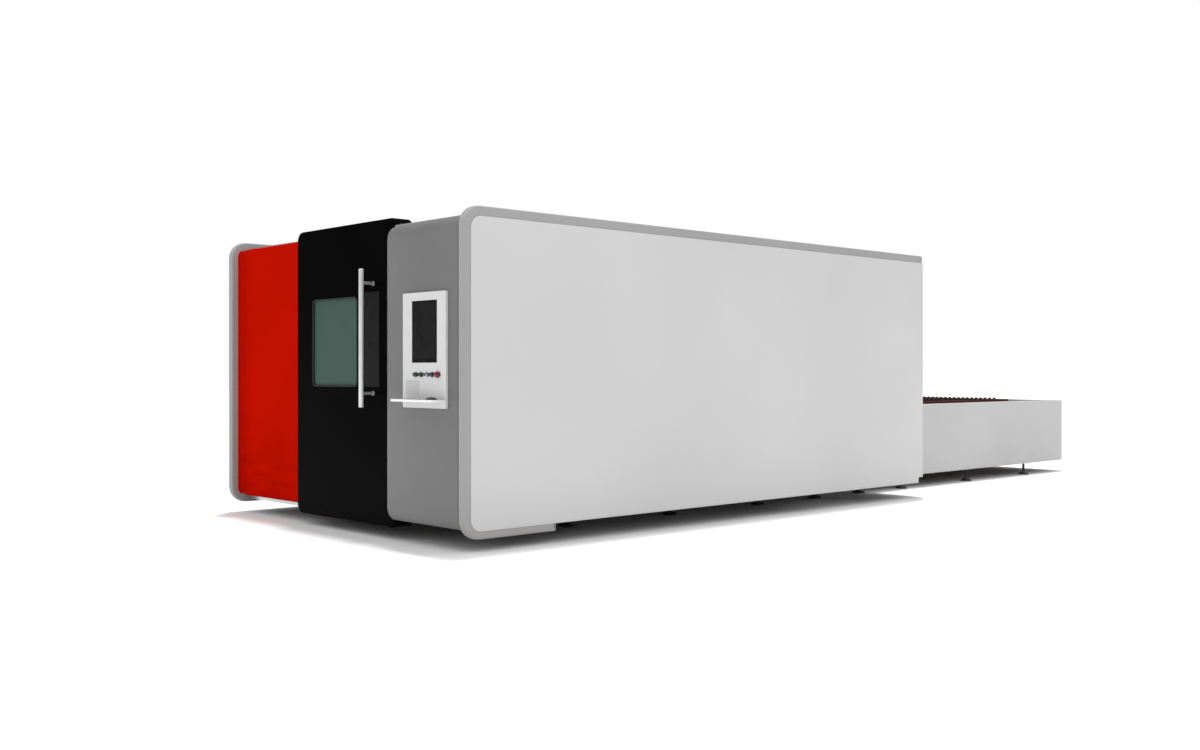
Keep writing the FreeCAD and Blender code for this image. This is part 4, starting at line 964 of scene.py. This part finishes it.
handle_steel = brushed("handle_steel", (0.66, 0.66, 0.66), 0.45, Metallic=0.3)
dome = np.linspace(0, pi / 2 * 0.97, 6)
bar_half = (bar_high.z - bar_low.z) / 2
dome_height = bar_radius * 0.3
bar_top = [(bar_radius * np.cos(turn), bar_half - dome_height + dome_height * np.sin(turn))
           for turn in dome]
bar_profile = [(radius, -level) for radius, level in bar_top[::-1]] + bar_top
bar_x, bar_y = bar_low.x + bar_radius, (bar_low.y + bar_high.y) / 2
pull_bar = turned(bar_profile, (bar_x, bar_y, (bar_low.z + bar_high.z) / 2), 2, 40)
piece("pull_bar", [pull_bar], handle_steel, "door", ["door_handle"])
post_profile = [(post_radius, bar_x), (post_radius, door_low.x - flange_depth - 0.004),
                (post_radius + 0.004, door_low.x - flange_depth),
                (flange_radius, door_low.x - flange_depth + 0.001), (flange_radius, door_low.x)]
piece("pull_bar_posts",
      [turned(post_profile, (0, bar_y, height), 0, 28)
       for height in (bar_low.z + post_inset, bar_high.z - post_inset)],
      painted("post_grey", (0.22, 0.22, 0.225), 0.4, 0.05, 0.0), "door")
dress(moulded("plate_dark", (0.010, 0.010, 0.011), 0.4, 0.2, Specular_IOR_Level=0.05),
      "handle_plate")

# ---- door running gear ----
# The door hangs from two steel slide blocks on a ground rail along the header, and a bar under
# the sill keeps its lower edge in line.
ground_steel = brushed("ground_steel", (0.52, 0.53, 0.54), 0.25, (1.0, 0.02, 1.0))
dress(ground_steel, "door_rail", "door_guide")
dress(painted("block_steel", (0.16, 0.165, 0.17), 0.35, 0.08, 0.0), "door_blocks",
      "bearing_blocks")

# ---- machine bed, gantry rails and magnets ----
# The bed is two long welded box beams on cross tubes, painted grey. Ground rails and the linear
# motor's magnet tracks are screwed along its tops, a screw every hand's breadth.
rails_low, rails_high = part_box("gantry_rails")
magnets_low, magnets_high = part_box("magnet_tracks")
rail_width = 0.03
rail_screw_pitch = 0.1
magnet_pitch = 0.06
magnet_width = 0.05
dress(painted("bed_grey", (0.20, 0.205, 0.21), 0.5, 0.08, 0.5), "machine_bed")
rail_steel = brushed("rail_steel", (0.55, 0.56, 0.57), 0.22, (0.02, 1.0, 1.0))
dress(rail_steel, "gantry_rails", "pallet_rails")
dress(moulded("magnet_dark", (0.035, 0.035, 0.04), 0.35, 0.2), "magnet_tracks")
rail_screw = turned([(0.007, -0.001), (0.007, 0.0006), (0.0045, 0.0008), (0.0042, -0.0004)],
                    (0, 0, 0), 2, 8)
screw_line = np.arange(rails_low.x + rail_screw_pitch / 2, rails_high.x, rail_screw_pitch)
piece("rail_screws",
      [repeated(rail_screw, [(x, side * (rails_high.y - rail_width / 2), rails_high.z)
                             for x in screw_line]) for side in (-1, 1)],
      bright_steel, "enclosure")
magnet = soft_block((0, 0, -0.001), (magnet_pitch * 0.94, magnet_width * 0.9, 0.0015), 0.0008)
magnet_line = np.arange(magnets_low.x + 0.003, magnets_high.x - magnet_pitch, magnet_pitch)
magnet_covers = [(x, magnets_high.y - magnet_width * 0.95, magnets_high.z) for x in magnet_line]
magnet_row = repeated(magnet, magnet_covers)
piece("magnet_covers", [magnet_row, mirrored(magnet_row)],
      brushed("magnet_cover_steel", (0.30, 0.31, 0.33), 0.35, (1.0, 0.02, 1.0)), "enclosure")

# ---- gantry, carriage and cutting head ----
# An aluminium box beam rides on the rails and carries the head's carriage. The head is a turned
# stack: connector, collimator, lens housing with its window drawer, sensor and copper nozzle.
head_low, head_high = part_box("cutting_head")
tip_low, tip_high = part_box("nozzle")
slide_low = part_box("z_slide")[0]
head_radius = 0.05
head_x = tip_low.x + (tip_high.x - tip_low.x) / 2
dress(brushed("gantry_silver", (0.46, 0.47, 0.48), 0.4, (1.0, 0.02, 1.0)), "gantry_beam",
      "head_carriage")
head_silver = brushed("head_silver", (0.58, 0.59, 0.60), 0.3)
dress(head_silver, "z_slide")
dress(rail_steel, "cross_rails")
body_height = 0.33
neck_top = head_low.z + body_height + 0.09


def banded(radius, low, high, bands, depth=0.002):
    """Profile of a turned barrel with evenly spaced shallow grooves."""
    levels = np.linspace(low, high, 4 * bands + 2)[1:-1].reshape(bands, 4)
    radii = np.array([radius, radius - depth, radius - depth, radius])
    rows = [(float(reach), float(level)) for band in levels for reach, level in zip(radii, band)]
    return [(radius * 0.9, low), (radius, low + 0.004)] + rows + [
        (radius, high - 0.004), (radius * 0.9, high)]


lens_top = head_low.z + body_height
stack = [turned(banded(head_radius, head_low.z, head_low.z + 0.09, 2), (head_x, 0, 0), 2, 40),
         turned(banded(head_radius * 0.94, head_low.z + 0.088, lens_top, 4), (head_x, 0, 0), 2, 40),
         turned(banded(head_radius * 0.6, lens_top - 0.002, neck_top, 3), (head_x, 0, 0), 2, 32),
         turned(banded(head_radius * 0.36, neck_top - 0.002, head_high.z, 2), (head_x, 0, 0), 2,
                24),
         soft_block((head_x, -0.04, slide_low.z + 0.03), (head_high.x, 0.04, lens_top - 0.03),
                    0.004)]
piece("cutting_head_stack", stack, head_silver, "head", ["cutting_head"])
drawer = soft_block((head_x - head_radius - 0.006, -0.03, head_low.z + 0.03),
                    (head_x, 0.03, head_low.z + 0.062), 0.003)
piece("window_drawer", [drawer], moulded("drawer_black", (0.02, 0.02, 0.022), 0.35, 0.3),
      "head")
holder = head_radius * 0.55
mid_level = tip_low.z + (tip_high.z - tip_low.z) * 0.55
tip_profile = [(0.0022, tip_low.z), (0.005, tip_low.z + 0.003), (0.011, tip_low.z + 0.016),
               (0.014, tip_low.z + 0.017), (0.014, tip_low.z + 0.026), (0.02, mid_level - 0.002),
               (holder, mid_level), (holder, tip_high.z)]
piece("nozzle_and_holder", [turned(tip_profile, (head_x, 0, 0), 2, 32)],
      brushed("nozzle_copper", (0.72, 0.36, 0.20), 0.3, (1.0, 1.0, 0.3)), "head",
      ["nozzle"])

# ---- levelling feet ----
# Each foot is a turned steel cup on a rubber pad with a threaded stud and a hexagon lock nut.
# Ten carry the bed and six carry the table.
foot_steel = brushed("foot_steel", (0.16, 0.16, 0.165), 0.45, (1.0, 1.0, 1.0))
thread_pitch = 0.0035
stud_radius = 0.014


def foot_parts(top, cup_radius):
    """Metal and rubber of one foot at the origin: the stud's thread is a sawtooth of radii."""
    turns = int((top - 0.04) / thread_pitch)
    level = 0.03 + thread_pitch * np.arange(2 * turns + 1) / 2
    reach = np.where(np.arange(2 * turns + 1) % 2, stud_radius, stud_radius * 0.88)
    stud = turned(list(zip(reach, level)), (0, 0, 0), 2, 12)
    cup = turned([(cup_radius * 0.96, 0.006), (cup_radius, 0.009), (cup_radius * 0.9, 0.015),
                  (cup_radius * 0.45, 0.022), (stud_radius * 1.5, 0.034), (stud_radius, 0.036)],
                 (0, 0, 0), 2, 28)
    nut = turned([(stud_radius * 1.55, top - 0.014), (stud_radius * 1.7, top - 0.0125),
                  (stud_radius * 1.7, top - 0.0015), (stud_radius * 1.55, top)], (0, 0, 0), 2, 6)
    pad = turned([(cup_radius * 0.97, 0.0), (cup_radius, 0.001), (cup_radius, 0.006),
                  (cup_radius * 0.97, 0.007)], (0, 0, 0), 2, 28)
    return [stud, cup, nut], [pad]


bed_foot_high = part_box("bed_feet")[1]
table_foot_low, table_foot_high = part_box("table_feet")
bed_foot_lane = 0.98
bed_foot_radius = bed_foot_high.y - bed_foot_lane
bed_foot_stations = [frame_low.x + back for back in (1.4, 2.5, 3.6, 4.4, 5.08)]
table_foot_pitch = 1.206
table_foot_radius = (table_foot_high.x - table_foot_low.x - 2 * table_foot_pitch) / 2
table_foot_stations = [table_foot_low.x + table_foot_radius + table_foot_pitch * step
                       for step in range(3)]
table_foot_lane = table_foot_high.y - table_foot_radius
bed_foot_places = [(x, side * bed_foot_lane, 0) for x in bed_foot_stations for side in (-1, 1)]
table_foot_places = [(x, side * table_foot_lane, 0) for x in table_foot_stations
                     for side in (-1, 1)]
for name, top, reach, places, node in (
        ("bed_foot", bed_foot_high.z, bed_foot_radius, bed_foot_places, "bed_feet"),
        ("table_foot", table_foot_high.z, table_foot_radius, table_foot_places, "table_feet")):
    metal, rubber = foot_parts(top, reach)
    piece(name + "_studs", [repeated(shape, places) for shape in metal], foot_steel, "enclosure",
          [node])
    piece(name + "_pads", [repeated(shape, places) for shape in rubber], rubber_black,
          "enclosure")

# ---- pallets ----
# Two pallets of welded tube, painted dark red, carry rows of toothed slats cut from mild steel
# plate. The slats are blued and crusted with spatter along their tops.
scorch_group, scorch_in, scorch_place = group_with(
    "scorched_plate",
    [("Colour", "NodeSocketColor", (0.3, 0.3, 0.3, 1)), ("Top", "NodeSocketFloat", 0.85),
     ("Burn Depth", "NodeSocketFloat", 0.05)],
    [("Colour", "NodeSocketColor"), ("Roughness", "NodeSocketFloat"),
     ("Metallic", "NodeSocketFloat"), ("Height", "NodeSocketFloat")])
scorch_speck = noise_in(scorch_group, scorch_place, 60.0, 6.0)
scorch_depth = times(scorch_group, scorch_in["Top"], level_in(scorch_group, scorch_place),
                     "SUBTRACT")
scorch_burn = ranged(scorch_group, times(scorch_group, scorch_depth,
                                         ranged(scorch_group, scorch_speck, -0.02, 0.02), "ADD"),
                     1.0, 0.0, 0.0, scorch_in["Burn Depth"])
scorch_steel = shaded(scorch_group, scorch_in["Colour"],
                      ranged(scorch_group, scorch_speck, 0.8, 1.2))
put_out(scorch_group, Height=scorch_speck,
        Colour=blended(scorch_group, scorch_burn, scorch_steel, (0.035, 0.012, 0.009, 1)),
        Roughness=ranged(scorch_group, scorch_burn, 0.5, 0.85),
        Metallic=ranged(scorch_group, scorch_burn, 0.7, 0.1))

maroon = painted("pallet_maroon", (0.085, 0.020, 0.016), 0.55, 0.15, 0.25)
dress(maroon, "upper_pallet_frame", "lower_pallet_frame", "table_frame")
for level in ("upper", "lower"):
    slat_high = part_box(level + "_pallet_slats")[1]
    dress(finished(level + "_slat_steel", scorch_group,
                   {"Colour": (0.12, 0.05, 0.04, 1), "Top": slat_high.z, "Burn Depth": 0.08}, 0.6),
          level + "_pallet_slats")

# ---- wheels and axles ----
# Each axle is one bright shaft through the pallet frame. A turned wheel with a crowned tread and
# a dished web is pressed on each end, with a lock ring outside it.
wheel_steel = brushed("wheel_steel", (0.36, 0.37, 0.38), 0.32, (1.0, 1.0, 1.0))
axle_radius = 0.0125
tread_crown = 0.0008
wheel_width = 0.03
collar_start = 0.7905


def wheelset_profile(half, width, wheel_radius, hub_start):
    """Half of a wheelset from its middle outwards: shaft, hub, dished web, crowned tread, end."""
    inner = half - width
    web = half - width * 0.7
    return [(axle_radius, 0.0), (axle_radius, hub_start), (axle_radius * 1.7, hub_start),
            (axle_radius * 1.7, inner), (wheel_radius * 0.93, inner),
            (wheel_radius - tread_crown, inner + 0.0015), (wheel_radius, inner + width * 0.35),
            (wheel_radius, half - width * 0.35), (wheel_radius - tread_crown, half - 0.0015),
            (wheel_radius * 0.93, half), (wheel_radius * 0.8, half), (wheel_radius * 0.76, web),
            (axle_radius * 1.5, web), (axle_radius * 1.5, half - 0.001), (axle_radius, half)]


for level in ("upper", "lower"):
    for end in ("front", "rear"):
        low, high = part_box(level + "_wheelset_" + end)
        half_profile = wheelset_profile(high.y, wheel_width, (high.z - low.z) / 2, collar_start)
        whole = [(reach, -out) for reach, out in half_profile[:0:-1]] + half_profile
        middle = ((low.x + high.x) / 2, 0, (low.z + high.z) / 2)
        piece(level + "_wheels_" + end, [turned(whole, middle, 1, 40)], wheel_steel,
              level + "_" + end + "_wheels", [level + "_wheelset_" + end])

# ---- chain drive ----
# Roller chains of pressed link plates and turned rollers run round a sprocket at each end and
# draw the pallets through. A geared motor turns the shaft at the table's far end.
chain_low, chain_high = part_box("pallet_chains")
drive_low, drive_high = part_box("drive_shaft")
idler_low, idler_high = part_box("idler_shaft")
chain_radius = (chain_high.z - chain_low.z) / 2 - 0.005
chain_middle = (chain_high.z + chain_low.z) / 2
chain_lane = chain_high.y - 0.01
chain_steel = brushed("chain_steel", (0.17, 0.165, 0.155), 0.45, (1.0, 1.0, 1.0), 0.2)
teeth = 17
link_height = 0.0095
plate_thickness = 0.002
roller_radius = 0.0044
chain_start = (idler_low.x + idler_high.x) / 2
chain_end = (drive_low.x + drive_high.x) / 2


def chain_stations(count):
    """Middles and headings of evenly spaced links round a stadium: two straights, two half turns."""
    straight = chain_end - chain_start
    half_turn = pi * chain_radius
    travel = np.arange(count) / count * 2 * (straight + half_turn)
    first, second, third = straight, straight + half_turn, 2 * straight + half_turn
    front_turn = (travel - third) / chain_radius
    back_turn = (travel - first) / chain_radius
    pick = [travel < first, travel < second, travel < third, travel >= third]
    x = np.select(pick, [chain_start + travel, chain_end + chain_radius * np.sin(back_turn),
                         chain_end - (travel - second),
                         chain_start - chain_radius * np.sin(front_turn)])
    z = np.select(pick, [chain_radius + 0 * travel, chain_radius * np.cos(back_turn),
                         -chain_radius + 0 * travel, -chain_radius * np.cos(front_turn)])
    heading = np.select(pick, [0 * travel, -back_turn, pi + 0 * travel, pi - front_turn])
    return x, z + chain_middle, heading


def chained(shape, stations, every, first):
    """A shape put at every so many stations, turned to each one's heading in the chain's plane."""
    spots = shape[0]
    x, z, heading = (values[first::every] for values in stations)
    turn_cos, turn_sin = np.cos(heading)[:, None], np.sin(heading)[:, None]
    placed = np.empty((len(x),) + spots.shape)
    placed[..., 0] = x[:, None] + spots[:, 0] * turn_cos - spots[:, 2] * turn_sin
    placed[..., 1] = spots[:, 1]
    placed[..., 2] = z[:, None] + spots[:, 0] * turn_sin + spots[:, 2] * turn_cos
    return copied(placed, shape)


pitch = 2 * chain_radius * np.sin(pi / teeth)
link_count = 2 * int((chain_end - chain_start + pi * chain_radius) / pitch)
stations = chain_stations(link_count)
links = []
for lane, outer in ((0.0046, False), (0.0072, True)):
    half = pitch / 2 + link_height / 2 * 0.9
    outline = rounded_outline([(-half, -link_height / 2), (half, -link_height / 2),
                               (half, link_height / 2), (-half, link_height / 2)],
                              [link_height * 0.49] * 4, 2)
    for side in (-1, 1):
        at = chain_lane + side * lane - plate_thickness / 2
        plate = pressed(outline, [(0, 0), (0, plate_thickness)], 1, at)
        links.append(chained(plate, stations, 2, int(outer)))
roller = turned([(roller_radius, -0.0035), (roller_radius, 0.0035)],
                (pitch / 2, chain_lane, 0), 1, 6)
pin = turned([(0.002, -0.0092), (0.002, 0.0092)], (pitch / 2, chain_lane, 0), 1, 6)
links += [chained(roller, stations, 1, 0), chained(pin, stations, 1, 0)]
for name, turned_over in (("left", False), ("right", True)):
    shapes = [mirrored(shape) for shape in links] if turned_over else links
    piece("roller_chain_" + name, shapes, chain_steel, "enclosure",
          ["pallet_chains"] if turned_over else ())


def toothed_ring(x):
    """Ring of teeth just inside the links: the radius swings by a raised cosine once a tooth."""
    angle = np.linspace(0, 2 * pi, teeth * 16, endpoint=False)
    tip = chain_radius - link_height / 2 - 0.0005
    root = tip - 0.010
    reach = root + (tip - root) * np.clip(0.5 - 0.75 * np.cos(teeth * angle), 0, 1)
    outer = np.stack([reach * np.cos(angle), reach * np.sin(angle)], -1)
    inner = np.stack([(root - 0.012) * np.cos(angle), (root - 0.012) * np.sin(angle)], -1)
    rings = np.stack([outer, outer, inner, inner]) + [x, chain_middle]
    return sheet_of_cells(stood_up(rings, chain_lane + np.array([-1, 1, 1, -1]) * 0.003, 1),
                          close_rows=True)


for shaft, body, x in (("drive", "table_shaft", chain_end), ("idler", "bed_shaft", chain_start)):
    teeth_ring = toothed_ring(x)
    piece(shaft + "_sprocket_teeth", [teeth_ring, mirrored(teeth_ring)], wheel_steel, body)
dress(wheel_steel, "drive_shaft", "idler_shaft")

motor_low, motor_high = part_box("drive_gearmotor")
gearbox_half = 0.075
motor_radius = gearbox_half * 0.85
motor_lane = (motor_low.y + motor_high.y) / 2
fin_count = 24
motor_grey = painted("motor_grey", (0.07, 0.10, 0.13), 0.4, 0.08, 0.3)
dress(motor_grey, "drive_gearmotor")


def finned_barrel(low, high):
    """Cast motor body: the radius rises into a narrow fin once in each even share of the turn."""
    angle = np.linspace(0, 2 * pi, fin_count * 8, endpoint=False)
    fin = np.clip(2.2 * np.cos(fin_count * angle) - 1.0, 0, 1)
    reach = motor_radius + 0.001 + 0.009 * fin
    circle = np.stack([reach * np.cos(angle), reach * np.sin(angle)], -1)
    return stood_up(np.stack([circle * 0.86, circle, circle, circle * 0.86]),
                    [low, low + 0.004, high - 0.004, high], 0)


barrel_points = finned_barrel(motor_low.x + 0.06, motor_high.x - 2 * gearbox_half - 0.03)
fins = sheet_of_cells(barrel_points + np.array([0, motor_lane, chain_middle]), cap=True)
cowl = turned([(motor_radius * 0.8, motor_low.x - 0.001), (motor_radius * 1.04, motor_low.x + 0.006),
               (motor_radius * 1.1, motor_low.x + 0.058), (motor_radius * 0.9, motor_low.x + 0.06)],
              (0, motor_lane, chain_middle), 0, 40)
piece("motor_fins_and_cowl", [fins, cowl], motor_grey, "enclosure")

# ---- exchange table covers ----
# Folded side covers with a top return and a flat end cover, coated light grey and held by
# screws along their lower edges. A plain steel sheet between them catches falling slag.
cover_low, cover_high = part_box("table_side_panels")
end_low, end_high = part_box("table_end_panel")
table_grey = painted("table_grey", (0.44, 0.44, 0.445), 0.42, 0.06, 0.15)
dress(table_grey, "table_side_panels", "table_end_panel")
rusted = painted("slag_sheet_brown", (0.05, 0.035, 0.03), 0.7, 0.3, 0.3)
cover_screw_inset, cover_screw_sink, cover_screw_radius = 0.1, 0.0005, 0.007
cover_screws = [[(x, side * (cover_high.y - cover_screw_sink), cover_low.z + cover_screw_inset)
                 for x in np.linspace(cover_low.x + cover_screw_inset,
                                      cover_high.x - cover_screw_inset, 7)]
                for side in (-1, 1)]
end_screws = [(end_high.x - cover_screw_sink, y, end_low.z + cover_screw_inset)
              for y in np.linspace(end_low.y + cover_screw_inset,
                                   end_high.y - cover_screw_inset, 5)]
piece("table_cover_screws", [domed_screws(cover_screws[0], 1, -1, cover_screw_radius),
                             domed_screws(cover_screws[1], 1, 1, cover_screw_radius),
                             domed_screws(end_screws, 0, 1, cover_screw_radius)],
      bright_steel, "enclosure")
table_tube = 0.06
slag_level = table_foot_high.z + table_tube
slag_thickness, slag_end_gap, slag_side_gap = 0.003, 0.03, 0.08
slag_sheet = soft_block((cover_low.x + slag_end_gap, cover_low.y + slag_side_gap, slag_level),
                        (end_low.x - slag_end_gap, cover_high.y - slag_side_gap,
                         slag_level + slag_thickness), 0.001)
piece("slag_sheet", [slag_sheet], rusted, "enclosure")

# ---- scrap trays, laser source and electrical cabinet ----
# Galvanised trays catch what falls through the slats. The laser source and the electrical cabinet
# are coated steel cases with louvred doors and a quarter-turn latch.
dress(brushed("tray_steel", (0.42, 0.43, 0.44), 0.5, (1.0, 1.0, 1.0), 0.25), "scrap_trays")
case_white = painted("case_white", (0.66, 0.66, 0.66), 0.4, 0.04, 0.2)
dress(case_white, "laser_source", "electrical_cabinet")
door_gap = 0.02
case_door_depth = 0.008
slot_inset, slot_proud, slot_height = 0.12, 0.013, 0.012
for node in ("laser_source", "electrical_cabinet"):
    low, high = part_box(node)
    facing = 1 if low.y < 0 else -1
    face = high.y if facing > 0 else low.y
    front_skin, back_skin = sorted((face, face + facing * case_door_depth))
    slot_front, slot_back = sorted((face, face + facing * slot_proud))
    leaf = soft_block((low.x + door_gap, front_skin, low.z + door_gap),
                      (high.x - door_gap, back_skin, high.z - door_gap), 0.003, 1)
    slots = [soft_block((low.x + slot_inset, slot_front, high.z - drop),
                        (high.x - slot_inset, slot_back, high.z - drop + slot_height), 0.004, 1)
             for drop in np.linspace(0.12, 0.36, 8)]
    latch = turned([(0.018, face), (0.018, face + facing * 0.014), (0.012, face + facing * 0.016)],
                   (high.x - 0.08, 0, (low.z + high.z) / 2), 1, 24)
    piece(node + "_door", [leaf] + slots, case_white, "enclosure")
    piece(node + "_latch", [latch], bright_steel, "enclosure")
